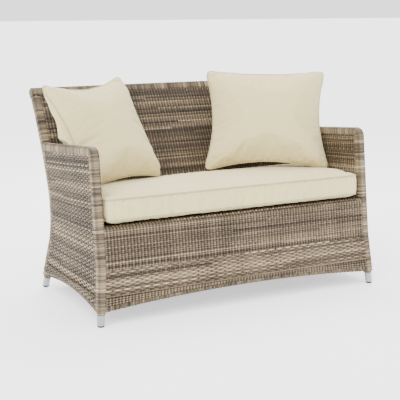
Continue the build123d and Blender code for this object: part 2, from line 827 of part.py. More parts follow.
zip_plane = Plane(
    origin=cushion_plane.origin + cushion_plane.z_dir * (lower_seam + band_height / 2),
    x_dir=(1, 0, 0),
    z_dir=cushion_plane.y_dir,
)
with BuildPart() as zip_slot:
    with BuildSketch(zip_plane):
        RectangleRounded(zip_length, zip_width, zip_width / 3)
    extrude(amount=cushion_depth)
with BuildPart() as seat_zip:
    add(cushion_form(-zip_proud))
    add(cushion_form(cloth), mode=Mode.SUBTRACT)
    add(zip_slot.part, mode=Mode.INTERSECT)

with BuildPart() as seat_core:
    add(cushion_form(cloth + cloth_gap))
with BuildPart() as seat_cover:
    add(cushion_form(0))
    add(cushion_form(cloth), mode=Mode.SUBTRACT)
    add(zip_slot.part, mode=Mode.SUBTRACT)

# Scatter pillows: a belly on each side of a piped seam with drawn in sides and four ears
belly_rise_shares = (0.0, 0.42, 0.72, 0.92, 1.0)
belly_inset_shares = (0.0, 0.05, 0.13, 0.24, 0.37)


def pillow_plane(place, turn, lean, tip):
    """Plane of a pillow's seam: turned about the upright, leaned back, then tipped sideways."""
    spot = Location(place, (0, 0, turn)) * Location((0, 0, 0), (90 - lean, 0, 0))
    return Plane(spot * Location((0, 0, 0), (0, 0, tip)))


def pillow_form(plane, width, belly, trim):
    """Pillow solid on its seam plane, made smaller by trim for its filling."""
    with BuildPart() as form:
        for side in (-1, 1):
            layers = []
            for rise, inset in zip(belly_rise_shares, belly_inset_shares):
                less = 2 * (inset * pillow_height + trim)
                level = plane.offset(side * rise * (belly - trim))
                layers.append(cushion_outline(level, width - less, pillow_height - less,
                                              pillow_draw, pillow_draw, pillow_corner))
            loft(layers)
    return form.part


pillows = {}
for name, width, belly, place, turn, lean, tip in (
    ("left_pillow", left_pillow_width, left_pillow_belly, left_pillow_place,
     left_pillow_turn, left_pillow_lean, left_pillow_tip),
    ("right_pillow", right_pillow_width, right_pillow_belly, right_pillow_place,
     right_pillow_turn, right_pillow_lean, right_pillow_tip),
):
    plane = pillow_plane(place, turn, lean, tip)
    rim = pillow_piping_dia / 2 + piping_gap
    seam = cushion_outline(plane, width + 2 * rim, pillow_height + 2 * rim,
                           pillow_draw, pillow_draw, pillow_corner + rim)
    with BuildPart() as piping:
        add(carried(seam.face().outer_wire(), disc(pillow_piping_dia / 2)))
    with BuildPart() as fill:
        add(pillow_form(plane, width, belly, cloth + cloth_gap))
    with BuildPart() as cover:
        add(pillow_form(plane, width, belly, 0))
        add(pillow_form(plane, width, belly, cloth), mode=Mode.SUBTRACT)
    pillows[name + "_cover"] = cover
    pillows[name + "_fill"] = fill
    pillows[name + "_piping"] = piping

# Every piece under its name; those on the right hand side are mirrored for the left
sided = {
    "arm_tube": arm_tube_right,
    "rear_post": rear_post_right,
    "seat_side_rail": seat_side_rail_right,
    "seat_cross_bar": seat_cross_bar_right,
    "side_hem_rail": side_hem_rail_right,
    "front_strut": front_strut_right,
    "rear_strut": rear_strut_right,
    "back_stile": back_stile_right,
    "arm_wrap": arm_wrap_right,
    "rear_wrap": rear_wrap_right,
    "side_skin": side_skin_right,
    "arm_lining": arm_lining_right,
    "front_sleeve": foot_parts["front"][0],
    "front_glide": foot_parts["front"][1],
    "rear_sleeve": foot_parts["rear"][0],
    "rear_glide": foot_parts["rear"][1],
}
pieces = {
    "back_top_rail": back_top_rail,
    "seat_front_rail": seat_front_rail,
    "seat_rear_rail": seat_rear_rail,
    "front_mid_rail": front_mid_rail,
    "front_hem_rail": front_hem_rail,
    "rear_hem_rail": rear_hem_rail,
    "back_top_wrap": back_top_wrap,
    "front_skin": front_skin,
    "back_skin": back_skin,
    "rear_skin": rear_skin,
    "seat_deck": seat_deck,
    "seat_cover": seat_cover,
    "seat_core": seat_core,
    "seat_piping_upper": seat_piping_upper,
    "seat_piping_lower": seat_piping_lower,
    "seat_zip": seat_zip,
}
pieces.update(pillows)
for name, right_piece in sided.items():
    with BuildPart() as left_piece:
        mirror(right_piece.part, about=Plane.YZ)
    pieces[name + "_right"] = right_piece
    pieces[name + "_left"] = left_piece

os.makedirs("parts", exist_ok=True)
for name, piece in pieces.items():
    piece.part.label = name
    export_step(piece.part, f"parts/{name}.step")
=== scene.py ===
"""Patio loveseat: woven shells over a bent tube frame, a boxed seat cushion and two piped scatter pillows.

Metres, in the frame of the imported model: X runs along the seat, the sitter looks towards -Y and +Z is up.
"""
from __future__ import annotations

import json
import logging
import math
from dataclasses import dataclass, field
from enum import Enum

import bpy
import numpy as np
from mathutils import Matrix, Vector
from mathutils.bvhtree import BVHTree
from mathutils.kdtree import KDTree

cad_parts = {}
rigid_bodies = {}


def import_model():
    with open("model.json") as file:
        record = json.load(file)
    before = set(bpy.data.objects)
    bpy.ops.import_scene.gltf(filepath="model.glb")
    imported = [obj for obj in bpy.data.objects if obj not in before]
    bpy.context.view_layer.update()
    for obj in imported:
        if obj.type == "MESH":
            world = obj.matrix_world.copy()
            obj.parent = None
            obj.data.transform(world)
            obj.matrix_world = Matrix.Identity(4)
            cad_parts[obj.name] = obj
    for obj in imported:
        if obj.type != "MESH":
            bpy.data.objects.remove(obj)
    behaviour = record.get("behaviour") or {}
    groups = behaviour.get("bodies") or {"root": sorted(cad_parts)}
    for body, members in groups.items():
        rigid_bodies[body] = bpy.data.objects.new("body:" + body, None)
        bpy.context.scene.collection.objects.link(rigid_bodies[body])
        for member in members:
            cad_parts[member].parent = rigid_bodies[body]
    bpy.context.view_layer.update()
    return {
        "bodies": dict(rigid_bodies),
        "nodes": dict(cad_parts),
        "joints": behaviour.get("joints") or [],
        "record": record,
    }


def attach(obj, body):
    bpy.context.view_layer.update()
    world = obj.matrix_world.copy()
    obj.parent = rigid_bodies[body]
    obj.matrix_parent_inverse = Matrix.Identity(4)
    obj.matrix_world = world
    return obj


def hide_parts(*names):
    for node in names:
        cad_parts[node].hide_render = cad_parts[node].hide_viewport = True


log = logging.getLogger("loveseat")
GLIDE_HEIGHT = 0.007
INFLATE_FRAMES = 20
FULL_TURN = 2 * math.pi
Tone = tuple[int, int, int]
Point = tuple[float, float, float]
Face = tuple[np.ndarray, np.ndarray]


class Side(Enum):
    """The two sides of the sofa, as the sign of X."""

    RIGHT = 1
    LEFT = -1

    @property
    def word(self) -> str:
        """Side as it stands in the names of nodes."""
        return self.name.lower()


@dataclass(frozen=True)
class Stance:
    """Lines of the tube frame, which the weave and the cushions follow."""

    front_foot: float
    post_x: float = 0.6025
    splay: float = 0.0185
    knee: float = 0.222
    front_lean: float = math.radians(7.1)
    foot_spacing: float = 0.606
    leg_lean: float = math.radians(19.0)
    waist_radius: float = 0.332
    seat_lean: float = math.radians(21.5)
    back_radius: float = 2.040
    top: float = 0.8082
    arm_corner: float = 0.6448
    arm_slope: float = math.radians(5.5)
    arm_bend: float = 0.022
    rail: float = 0.3494
    deck_slope: float = math.radians(3.0)
    post_wrap: float = 0.0188
    arm_wrap: float = 0.0182
    top_wrap: float = 0.0194
    wrap_corner: float = 0.011
    skin: float = 0.0156
    panel: float = 0.0176
    hem: float = 0.054
    hem_rise: float = 0.028
    hem_rail: float = 0.0145
    border: float = 0.112
    mid_rail: float = 0.205

    def front_y(self, z: np.ndarray) -> np.ndarray:
        """Middle line of a front post at a height."""
        return self.front_foot + z * math.tan(self.front_lean)

    @property
    def waist_heights(self) -> tuple[float, float]:
        """Heights of the waist's narrowest place and of its upper end."""
        middle = self.knee + self.waist_radius * math.sin(self.leg_lean)
        return middle, middle + self.waist_radius * math.sin(self.seat_lean)

    def lean(self, z: np.ndarray) -> np.ndarray:
        """Backward lean of the rear post's line, negative on the leg.

        Args:
            z: Heights.

        Returns:
            Leans in radians.
        """
        middle, top = self.waist_heights
        waist = np.arcsin(np.clip((z - middle) / self.waist_radius, -1, 1))
        back = np.arcsin(np.clip(math.sin(self.seat_lean) + (z - top) / self.back_radius, -1, 1))
        return np.where(z < self.knee, -self.leg_lean, np.where(z < top, waist, back))

    def rear_y(self, z: np.ndarray) -> np.ndarray:
        """Middle line of a rear post.

        Args:
            z: Heights.

        Returns:
            Places along Y.
        """
        leg = -np.minimum(z, self.knee) * math.tan(self.leg_lean)
        low = -self.knee * math.tan(self.leg_lean) - self.waist_radius * (1 - math.cos(self.leg_lean))
        lean = self.lean(z)
        waist = low + self.waist_radius * (1 - np.cos(lean))
        high = low + self.waist_radius * (1 - math.cos(self.seat_lean))
        back = high + self.back_radius * (math.cos(self.seat_lean) - np.cos(lean))
        run = np.where(z < self.knee, leg, np.where(z < self.waist_heights[1], waist, back))
        return self.front_foot + self.foot_spacing + run

    def x_at(self, z: np.ndarray) -> np.ndarray:
        """Half spread of the posts at a height."""
        return self.post_x + self.splay * np.maximum(self.knee - z, 0) / self.knee

    def arm_z(self, y: np.ndarray) -> np.ndarray:
        """Middle line of an arm's tube at a place along Y."""
        return self.arm_corner - (y - self.front_y(self.arm_corner)) * math.tan(self.arm_slope)

    def under_arm(self, u: np.ndarray) -> np.ndarray:
        """Height of an arm's lower side at a share u of the way from the front post to the rear one."""
        front, rear = self.front_y(self.arm_corner), float(self.rear_y(self.arm_corner))
        return self.arm_z(front + (rear - front) * u) - self.wrap_corner

    @property
    def deck_up(self) -> np.ndarray:
        """Normal of the seat deck."""
        return np.array([0, math.sin(self.deck_slope), math.cos(self.deck_slope)])

    @property
    def deck_way(self) -> np.ndarray:
        """Direction along the seat deck, front to back."""
        return np.array([0, math.cos(self.deck_slope), -math.sin(self.deck_slope)])

    def deck_z(self, z: float) -> float:
        """Height of the deck's line where the rear post stands at a height."""
        return self.rail - (float(self.rear_y(z)) - self.rail_point[1]) * math.tan(self.deck_slope)

    @property
    def rail_point(self) -> np.ndarray:
        """Middle of the front seat rail."""
        return np.array([0, self.front_y(self.rail), self.rail])


def unit(v: np.ndarray) -> np.ndarray:
    """Rows of v at length one."""
    return v / np.maximum(np.linalg.norm(v, axis=-1, keepdims=True), 1e-12)


def stacked(x: np.ndarray, y: np.ndarray, z: np.ndarray) -> np.ndarray:
    """Points from three coordinates, spread to one length."""
    return np.stack(np.broadcast_arrays(x, y, z), -1).astype(float)


def direction(path: np.ndarray, closed: bool) -> np.ndarray:
    """Unit vectors along a line of points, whose end may join its start."""
    return unit(np.roll(path, -1, 0) - np.roll(path, 1, 0) if closed else np.gradient(path, axis=0))


def walked(path: np.ndarray) -> np.ndarray:
    """Distance walked along a line of points, at each point."""
    return np.concatenate([[0], np.cumsum(np.linalg.norm(np.diff(path, axis=0), axis=1))])


def added(name: str, data: bpy.types.ID) -> bpy.types.Object:
    """New object for some data, linked to the scene.

    Args:
        name: Name of the object.
        data: Its mesh, light or camera.

    Returns:
        The object.
    """
    piece = bpy.data.objects.new(name, data)
    bpy.context.scene.collection.objects.link(piece)
    return piece


def declare(piece: bpy.types.Object, body: str, slot: str, *nodes: str) -> bpy.types.Object:
    """Attach a piece to the body that it rides on and hide the nodes that it stands for.

    Args:
        piece: The piece.
        body: Its body.
        slot: Its material slot; not used.
        *nodes: Nodes that it replaces.

    Returns:
        The piece.
    """
    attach(piece, body)
    if nodes:
        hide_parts(*nodes)
    log.info("%s: %d faces", piece.name, len(piece.data.polygons))
    return piece


class StrandMesh:
    """Gathers flat strands and round cords into one mesh, with a tone for each and its length as UV."""

    section = np.array([(-0.5, 0.0), (-0.3, 0.46), (0.3, 0.46), (0.5, 0.0), (0.0, -0.5)])
    cord_sides = 8

    def __init__(self) -> None:
        """Start with nothing in the mesh."""
        self.points: list[np.ndarray] = []
        self.quads: list[np.ndarray] = []
        self.uvs: list[np.ndarray] = []
        self.tones: list[np.ndarray] = []
        self.count = 0

    def sweep(self, path: np.ndarray, across: np.ndarray, out: np.ndarray, shape: np.ndarray,
              tone: np.ndarray, closed: bool) -> None:
        """Add one swept section.

        Args:
            path: Points along the middle.
            across: Unit vectors across it.
            out: Unit vectors out of the surface.
            shape: Section points, as lengths across and out.
            tone: Tone at each point of the path.
            closed: Whether the end joins the start.
        """
        n, k = len(path), len(shape)
        rings = (path[:, None] + across[:, None] * shape[None, :, :1] + out[:, None] * shape[None, :, 1:])
        self.points.append(rings.reshape(-1, 3))
        i = np.arange(n if closed else n - 1)[:, None]
        j = np.arange(k)[None, :]
        nxt, jn = (i + 1) % n, (j + 1) % k
        quads = np.stack(np.broadcast_arrays(i * k + j, nxt * k + j, nxt * k + jn, i * k + jn), -1)
        self.quads.append(quads.reshape(-1, 4) + self.count)
        run = walked(path)
        span = np.broadcast_to(run[:, None], (n, k))
        side = np.broadcast_to(shape[None, :, 0], (n, k))
        self.uvs.append(np.stack([span, side], -1).reshape(-1, 2))
        self.tones.append(np.repeat(np.broadcast_to(tone, (n,)), k))
        self.count += n * k

    def ribbon(self, path: np.ndarray, out: np.ndarray, width: float, thick: float,
               tone: np.ndarray, closed: bool = False) -> None:
        """Add a flat strand.

        Args:
            path: Points along its middle.
            out: Unit vectors out of the surface it lies on.
            width: Width of the strand.
            thick: Its thickness.
            tone: Tone at each point.
            closed: Whether the end joins the start.
        """
        across = unit(np.cross(direction(path, closed), out))
        self.sweep(path, across, out, self.section * (width, thick), tone, closed)

    def cord(self, path: np.ndarray, radius: float, tone: float) -> None:
        """Add a round cord whose end joins its start.

        Args:
            path: Points along its middle.
            radius: Its radius.
            tone: Its tone.
        """
        along = direction(path, True)
        hint = np.array([0.21, 0.35, 0.91])
        across = unit(np.cross(along, hint))
        out = unit(np.cross(across, along))
        turn = np.linspace(0, FULL_TURN, self.cord_sides, endpoint=False)
        ring = np.stack([np.cos(turn), np.sin(turn)], -1) * radius
        self.sweep(path, across, out, ring, np.full(len(path), tone), True)

    def build(self, name: str, material: bpy.types.Material) -> bpy.types.Object:
        """Make the object.

        Args:
            name: Name of the piece.
            material: Its material.

        Returns:
            The new object, linked to the scene.
        """
        points, quads = np.concatenate(self.points), np.concatenate(self.quads)
        mesh = bpy.data.meshes.new(name)
        mesh.vertices.add(len(points))
        mesh.vertices.foreach_set("co", points.ravel())
        mesh.loops.add(quads.size)
        mesh.loops.foreach_set("vertex_index", quads.ravel().astype(np.int32))
        mesh.polygons.add(len(quads))
        mesh.polygons.foreach_set("loop_start", np.arange(0, quads.size, 4, dtype=np.int32))
        mesh.update(calc_edges=True)
        mesh.polygons.foreach_set("use_smooth", np.ones(len(quads), dtype=bool))
        layer = mesh.uv_layers.new(name="strand")
        layer.data.foreach_set("uv", np.concatenate(self.uvs)[quads.ravel()].ravel().astype(np.float32))
        tone = mesh.attributes.new("tone", "FLOAT", "POINT")
        tone.data.foreach_set("value", np.concatenate(self.tones).astype(np.float32))
        mesh.validate()
        mesh.materials.append(material)
        return added(name, mesh)


def linear(r: int, g: int, b: int) -> Point:
    """Linear colour of an 8 bit display colour.

    Args:
        r: Red.
        g: Green.
        b: Blue.

    Returns:
        The three channels, from 0 to 1.
    """
    def one(c: int) -> float:
        """One channel."""
        s = c / 255
        return s / 12.92 if s <= 0.04045 else ((s + 0.055) / 1.055) ** 2.4
    return one(r), one(g), one(b)


class Wiring:
    """Short ways to add shader nodes to a tree and to join them."""

    def __init__(self, tree: bpy.types.NodeTree) -> None:
        """Keep the tree."""
        self.tree = tree

    def join(self, value: object, slot: bpy.types.NodeSocket) -> None:
        """Link a socket to an input, or set the input to a plain value.

        Args:
            value: Socket or plain value.
            slot: The input.
        """
        if isinstance(value, bpy.types.NodeSocket):
            self.tree.links.new(value, slot)
        else:
            slot.default_value = value

    def add(self, kind: str, **values: object) -> bpy.types.Node:
        """Add a node.

        Args:
            kind: Its type, after the word that shader nodes share.
            **values: Sockets or plain values for its inputs by name.

        Returns:
            The node.
        """
        node = self.tree.nodes.new("ShaderNode" + kind)
        for name, value in values.items():
            self.join(value, node.inputs[name])
        return node

    def group(self, inner: bpy.types.NodeTree, **values: object) -> bpy.types.Node:
        """Add a shader group.

        Args:
            inner: The group.
            **values: Sockets or plain values for its inputs by name.

        Returns:
            The node.
        """
        node = self.add("Group")
        node.node_tree = inner
        for name, value in values.items():
            self.join(value, node.inputs[name])
        return node

    def math(self, kind: str, *values: object) -> bpy.types.NodeSocket:
        """Add a maths node.

        Args:
            kind: What it works out.
            *values: Sockets or numbers for its inputs.

        Returns:
            Its output.
        """
        node = self.add("Math")
        node.operation = kind
        for slot, value in zip(node.inputs, values):
            self.join(value, slot)
        return node.outputs[0]

    def noise(self, vector: bpy.types.NodeSocket, scale: object, detail: float = 2.0) -> bpy.types.NodeSocket:
        """Output of a noise texture over some coordinates."""
        return self.add("TexNoise", Vector=vector, Scale=scale, Detail=detail).outputs["Fac"]

    def ramp(self, value: bpy.types.NodeSocket, *stops: tuple[float, Point]) -> bpy.types.NodeSocket:
        """Colour of a value on a ramp.

        Args:
            value: Socket that drives it.
            *stops: Places from 0 to 1 with their linear colours.

        Returns:
            The colour's socket.
        """
        node = self.add("ValToRGB", Fac=value)
        band = node.color_ramp
        while len(band.elements) < len(stops):
            band.elements.new(0.5)
        for element, (place, colour) in zip(band.elements, stops):
            element.position = place
            element.color = (*colour, 1.0)
        return node.outputs["Color"]

    def spot(self) -> bpy.types.NodeSocket:
        """Coordinates in object space."""
        return self.add("TexCoord").outputs["Object"]

    def bump(self, height: bpy.types.NodeSocket, strength: float, distance: float) -> bpy.types.NodeSocket:
        """Normal raised by a height."""
        return self.add("Bump", Strength=strength, Distance=distance, Height=height).outputs["Normal"]


class Effects:
    """Shader groups that several finishes share."""

    def __init__(self) -> None:
        """Build every group once."""
        self.grain = self.make_grain()
        self.patches = self.make_patches()
        self.cloth = self.make_cloth()

    @staticmethod
    def new(name: str, inputs: dict[str, float | None], *outputs: str) -> tuple[Wiring, object, object]:
        """Make an empty shader group.

        Args:
            name: Name of the group.
            inputs: Its inputs with their values, or None for a vector.
            *outputs: Names of its outputs.

        Returns:
            The group's wiring, the outputs of its input node and the inputs of its output node.
        """
        tree = bpy.data.node_groups.new(name, "ShaderNodeTree")
        for word, value in inputs.items():
            kind = "NodeSocketVector" if value is None else "NodeSocketFloat"
            made = tree.interface.new_socket(name=word, in_out="INPUT", socket_type=kind)
            if value is not None:
                made.default_value = value
        for word in outputs:
            tree.interface.new_socket(name=word, in_out="OUTPUT", socket_type="NodeSocketFloat")
        ends = tree.nodes.new("NodeGroupInput"), tree.nodes.new("NodeGroupOutput")
        return Wiring(tree), ends[0].outputs, ends[1].inputs

    def make_grain(self) -> bpy.types.NodeTree:
        """Fine lines along a strand, from its UV: a height and a shade.

        Returns:
            The group.
        """
        wire, into, out = self.new("strand grain", {"Vector": None, "Along": 60.0, "Across": 1500.0},
                                   "Height", "Shade")
        split = wire.add("SeparateXYZ", Vector=into["Vector"])
        lines = wire.add("CombineXYZ", X=wire.math("MULTIPLY", split.outputs[0], into["Along"]),
                         Y=wire.math("MULTIPLY", split.outputs[1], into["Across"])).outputs[0]
        wire.join(wire.noise(lines, 1.0), out["Height"])
        wire.join(wire.noise(lines, 0.27), out["Shade"])
        return wire.tree

    def make_patches(self) -> bpy.types.NodeTree:
        """Soft uneven patches of wear and dust in object space, around zero.

        Returns:
            The group.
        """
        wire, into, out = self.new("worn patches", {"Scale": 6.0, "Amount": 0.2}, "Mask")
        centred = wire.math("SUBTRACT", wire.noise(wire.spot(), into["Scale"], 3.0), 0.5)
        wire.join(wire.math("MULTIPLY", centred, into["Amount"]), out["Mask"])
        return wire.tree

    def make_cloth(self) -> bpy.types.NodeTree:
        """Plain cloth: crossing threads in object space, as a height, with a slub shade.

        Returns:
            The group.
        """
        wire, into, out = self.new("plain cloth", {"Threads": 900.0}, "Height", "Slub")
        split = wire.add("SeparateXYZ", Vector=wire.spot())
        waves = [wire.math("SINE", wire.math("MULTIPLY", axis, into["Threads"])) for axis in split.outputs]
        wire.join(wire.math("MULTIPLY", waves[0], wire.math("ADD", waves[1], waves[2])), out["Height"])
        wire.join(wire.noise(wire.spot(), 130.0, 3.0), out["Slub"])
        return wire.tree


@dataclass(frozen=True)
class Finish:
    """A named material, which each kind of finish wires in its own way."""

    name: str

    def build(self, effects: Effects) -> bpy.types.Material:
        """Make the material.

        Args:
            effects: Shared shader groups.

        Returns:
            The material.
        """
        made = bpy.data.materials.new(self.name)
        made.use_nodes = True
        wire = Wiring(made.node_tree)
        shader = made.node_tree.nodes["Principled BSDF"]
        for name, value in self.inputs(wire, effects).items():
            wire.join(value, shader.inputs[name])
        return made

    def inputs(self, wire: Wiring, effects: Effects) -> dict[str, object]:
        """Sockets or plain values for the shader's inputs, by name."""
        raise NotImplementedError


@dataclass(frozen=True)
class WickerFinish(Finish):
    """Extruded flat strand in several shades of weathered reed."""

    name: str = "reed strands"
    # The darkest end also colours the painted shade sheet behind the panels.
    dark: Tone = (27, 21, 15)
    brown: Tone = (66, 54, 40)
    middle: Tone = (106, 92, 72)
    pale: Tone = (150, 133, 106)
    light: Tone = (196, 180, 150)
    places: tuple[float, ...] = (0.0, 0.28, 0.52, 0.78, 1.0)
    roughness: float = 0.5
    grain: float = 0.35

    def inputs(self, wire: Wiring, effects: Effects) -> dict[str, object]:
        """Shade by the strand's own tone, its grain and wear.

        Args:
            wire: Wiring of the material.
            effects: Shared shader groups.

        Returns:
            Values by input.
        """
        tone, uv = wire.add("Attribute"), wire.add("UVMap")
        tone.attribute_name, uv.uv_map = "tone", "strand"
        grain = wire.group(effects.grain, Vector=uv.outputs[0]).outputs
        worn = wire.group(effects.patches, Scale=9.0, Amount=0.22).outputs["Mask"]
        streak = wire.math("MULTIPLY", wire.math("SUBTRACT", grain["Shade"], 0.5), 0.35)
        mixed = wire.math("ADD", wire.math("ADD", tone.outputs["Fac"], streak), worn)
        rough = wire.math("ADD", wire.math("MULTIPLY", grain["Shade"], 0.25), self.roughness - 0.12)
        shades = (self.dark, self.brown, self.middle, self.pale, self.light)
        stops = [(place, linear(*shade)) for place, shade in zip(self.places, shades)]
        return {"Base Color": wire.ramp(mixed, *stops),
                "Roughness": rough, "Specular IOR Level": 0.3,
                "Normal": wire.bump(grain["Height"], self.grain, 0.0004)}


@dataclass(frozen=True)
class ClothFinish(Finish):
    """Woven outdoor cloth of the cushions and their piping."""

    base: Tone = (212, 199, 148)
    deep: Tone = (197, 183, 131)
    threads: float = 4200.0
    depth: float = 0.00012

    def inputs(self, wire: Wiring, effects: Effects) -> dict[str, object]:
        """Shade by slubs and wear, with threads as relief.

        Args:
            wire: Wiring of the material.
            effects: Shared shader groups.

        Returns:
            Values by input.
        """
        cloth = wire.group(effects.cloth, Threads=self.threads).outputs
        worn = wire.group(effects.patches, Scale=3.0, Amount=0.8).outputs["Mask"]
        shade = wire.math("ADD", cloth["Slub"], worn)
        return {"Base Color": wire.ramp(shade, (0.0, linear(*self.deep)), (1.0, linear(*self.base))),
                "Roughness": 0.88, "Sheen Weight": 0.25, "Sheen Roughness": 0.5,
                "Normal": wire.bump(cloth["Height"], 0.5, self.depth)}


@dataclass(frozen=True)
class MetalFinish(Finish):
    """Brushed or satin aluminium."""

    base: Tone
    roughness: float
    brushing: Point = (900.0, 900.0, 25.0)

    def inputs(self, wire: Wiring, effects: Effects) -> dict[str, object]:
        """Fine lines along Z, duller where it is worn.

        Args:
            wire: Wiring of the material.
            effects: Shared shader groups.

        Returns:
            Values by input.
        """
        stretch = wire.add("Mapping", Vector=wire.spot(), Scale=self.brushing)
        lines = wire.noise(stretch.outputs[0], 1.0)
        worn = wire.group(effects.patches, Scale=30.0, Amount=0.3).outputs["Mask"]
        base = linear(*self.base)
        return {"Metallic": 1.0, "Roughness": wire.math("ADD", worn, self.roughness),
                "Base Color": wire.ramp(lines, (0.2, tuple(c * 0.82 for c in base)), (0.8, base)),
                "Normal": wire.bump(lines, 0.12, 0.0002)}


@dataclass(frozen=True)
class PlasticFinish(Finish):
    """Moulded plastic with a fine texture and scuffs."""

    base: Tone
    scuff: Tone
    roughness: float = 0.5

    def inputs(self, wire: Wiring, effects: Effects) -> dict[str, object]:
        """Shade by scuffs, with small pits as relief.

        Args:
            wire: Wiring of the material.
            effects: Shared shader groups.

        Returns:
            Values by input.
        """
        pits = wire.noise(wire.spot(), 1400.0, 4.0)
        worn = wire.group(effects.patches, Scale=60.0, Amount=1.2).outputs["Mask"]
        stops = (0.35, linear(*self.base)), (0.95, linear(*self.scuff))
        return {"Base Color": wire.ramp(wire.math("ADD", worn, 0.4), *stops),
                "Roughness": wire.math("ADD", worn, self.roughness),
                "Specular IOR Level": 0.15, "Normal": wire.bump(pits, 0.2, 0.0003)}


@dataclass(frozen=True)
class FloorFinish(Finish):
    """Pale studio floor that glows a little."""

    def inputs(self, wire: Wiring, effects: Effects) -> dict[str, object]:
        """Almost even white.

        Args:
            wire: Wiring of the material.
            effects: Shared shader groups.

        Returns:
            Values by input.
        """
        cloud = wire.noise(wire.spot(), 0.7)
        return {"Base Color": wire.ramp(cloud, (0.0, (0.88,) * 3), (1.0, (0.92,) * 3)), "Roughness": 0.9,
                "Emission Color": (1.0,) * 4, "Emission Strength": 0.9}


@dataclass
class Patch:
    """A stretch of surface that a panel is woven on: u runs along it and height t up it."""

    stance: Stance
    bottom: float = 0.0
    top: float = 0.0
    arched: bool = False

    def low(self, u: np.ndarray) -> np.ndarray:
        """Lower edge at u, which follows the hem where the patch is arched."""
        lift = self.stance.hem_rise * (1 - (2 * u - 1) ** 2) if self.arched else 0.0
        return self.bottom + lift + 0 * u

    def high(self, u: np.ndarray) -> np.ndarray:
        """Upper edge at u."""
        return self.top + 0 * u

    def at(self, u: np.ndarray, t: np.ndarray) -> Face:
        """Points and outward normals at u and height t."""
        raise NotImplementedError

    def between_posts(self, u: np.ndarray, t: np.ndarray) -> np.ndarray:
        """Place between the front post and the rear one.

        Args:
            u: Shares of the way.
            t: Heights.

        Returns:
            Places along Y.
        """
        s = self.stance
        first, last = s.front_y(t) + s.wrap_corner, s.rear_y(t) - s.wrap_corner
        return first + (last - first) * u

    def place(self, u: np.ndarray, v: np.ndarray) -> Face:
        """Points and outward normals at u and a share v of the way up."""
        low = self.low(u)
        return self.at(u, low + (self.high(u) - low) * v)

    def reach(self) -> tuple[float, float]:
        """Size of the patch.

        Returns:
            Its length along the middle and its mean height.
        """
        u = np.linspace(0, 1, 60)
        middle, _ = self.place(u, np.full(60, 0.5))
        columns = [self.place(np.full(60, spot), u)[0] for spot in (0.1, 0.5, 0.9)]
        return float(walked(middle)[-1]), float(np.mean([walked(column)[-1] for column in columns]))


@dataclass
class SkirtPatch(Patch):
    """Front skirt, and its roll over the front seat rail."""

    def at(self, u: np.ndarray, t: np.ndarray) -> Face:
        """Face of the skirt, whose roll goes on past the rail.

        Args:
            u: Shares of the way along.
            t: Heights.

        Returns:
            Points and outward normals.
        """
        s = self.stance
        z = np.minimum(t, s.rail)
        turn = s.front_lean + np.maximum(t - s.rail, 0) / s.skin
        normal = stacked(0 * u, -np.cos(turn), np.sin(turn))
        half = s.x_at(z) - s.wrap_corner
        return stacked((2 * u - 1) * half, s.front_y(z), z) + normal * s.skin, normal


@dataclass
class BackPatch(Patch):
    """Front or rear face of the back, which follows the rear posts' line."""

    rear: bool = False

    def at(self, u: np.ndarray, t: np.ndarray) -> Face:
        """Face of the back.

        Args:
            u: Shares of the way along.
            t: Heights.

        Returns:
            Points and outward normals.
        """
        s = self.stance
        lean = s.lean(t)
        way = 1.0 if self.rear else -1.0
        normal = stacked(0 * u, way * np.cos(lean), -way * np.sin(lean))
        across = -way * (2 * u - 1) * (s.x_at(t) - s.wrap_corner)
        return stacked(across, s.rear_y(t), t) + normal * s.skin, normal


@dataclass
class FlankPatch(Patch):
    """Outer side between the front and rear posts, over its hem and, with no upper height, up to the arm."""

    side: Side = Side.RIGHT

    def high(self, u: np.ndarray) -> np.ndarray:
        """Upper edge at u."""
        return self.top + 0 * u if self.top else self.stance.under_arm(u)

    def at(self, u: np.ndarray, t: np.ndarray) -> Face:
        """Face of the side.

        Args:
            u: Shares of the way along.
            t: Heights.

        Returns:
            Points and outward normals.
        """
        s = self.stance
        sign = self.side.value
        tilt = np.where(t < s.knee, math.atan2(s.splay, s.knee), 0.0)
        normal = stacked(sign * np.cos(tilt), 0 * t, np.sin(tilt))
        return stacked(sign * s.x_at(t), self.between_posts(u, t), t) + normal * s.skin, normal


@dataclass
class LiningPatch(Patch):
    """Inner face of an arm, from the deck up."""

    side: Side = Side.RIGHT

    def low(self, u: np.ndarray) -> np.ndarray:
        """Lower edge, which follows the deck.

        Args:
            u: Shares of the way along.

        Returns:
            Heights.
        """
        s = self.stance
        first = s.rail_point[1]
        run = first + (float(s.rear_y(s.rail)) - first) * u
        return s.rail + s.skin - (run - first) * math.tan(s.deck_slope)

    def high(self, u: np.ndarray) -> np.ndarray:
        """Upper edge at u."""
        return self.stance.under_arm(u)

    def at(self, u: np.ndarray, t: np.ndarray) -> Face:
        """Face of the lining.

        Args:
            u: Shares of the way along.
            t: Heights.

        Returns:
            Points and inward normals.
        """
        s = self.stance
        normal = stacked(-self.side.value + 0 * t, 0 * t, 0 * t)
        return stacked(self.side.value * (s.post_x - s.skin) + 0 * t, self.between_posts(u, t), t), normal


@dataclass
class DeckPatch(Patch):
    """Seat deck, whose t runs from the front rail to the back."""

    bottom: float = 0.004
    top: float = 0.447

    def at(self, u: np.ndarray, t: np.ndarray) -> Face:
        """Face of the deck.

        Args:
            u: Shares of the way along.
            t: Distances from the front rail.

        Returns:
            Points and upward normals.
        """
        s = self.stance
        flat = s.rail_point + s.deck_way * np.asarray(t)[..., None] + s.deck_up * s.skin
        flat[..., 0] = (2 * u - 1) * (s.post_x - s.post_wrap - 0.001)
        return flat, np.broadcast_to(s.deck_up, flat.shape).copy()


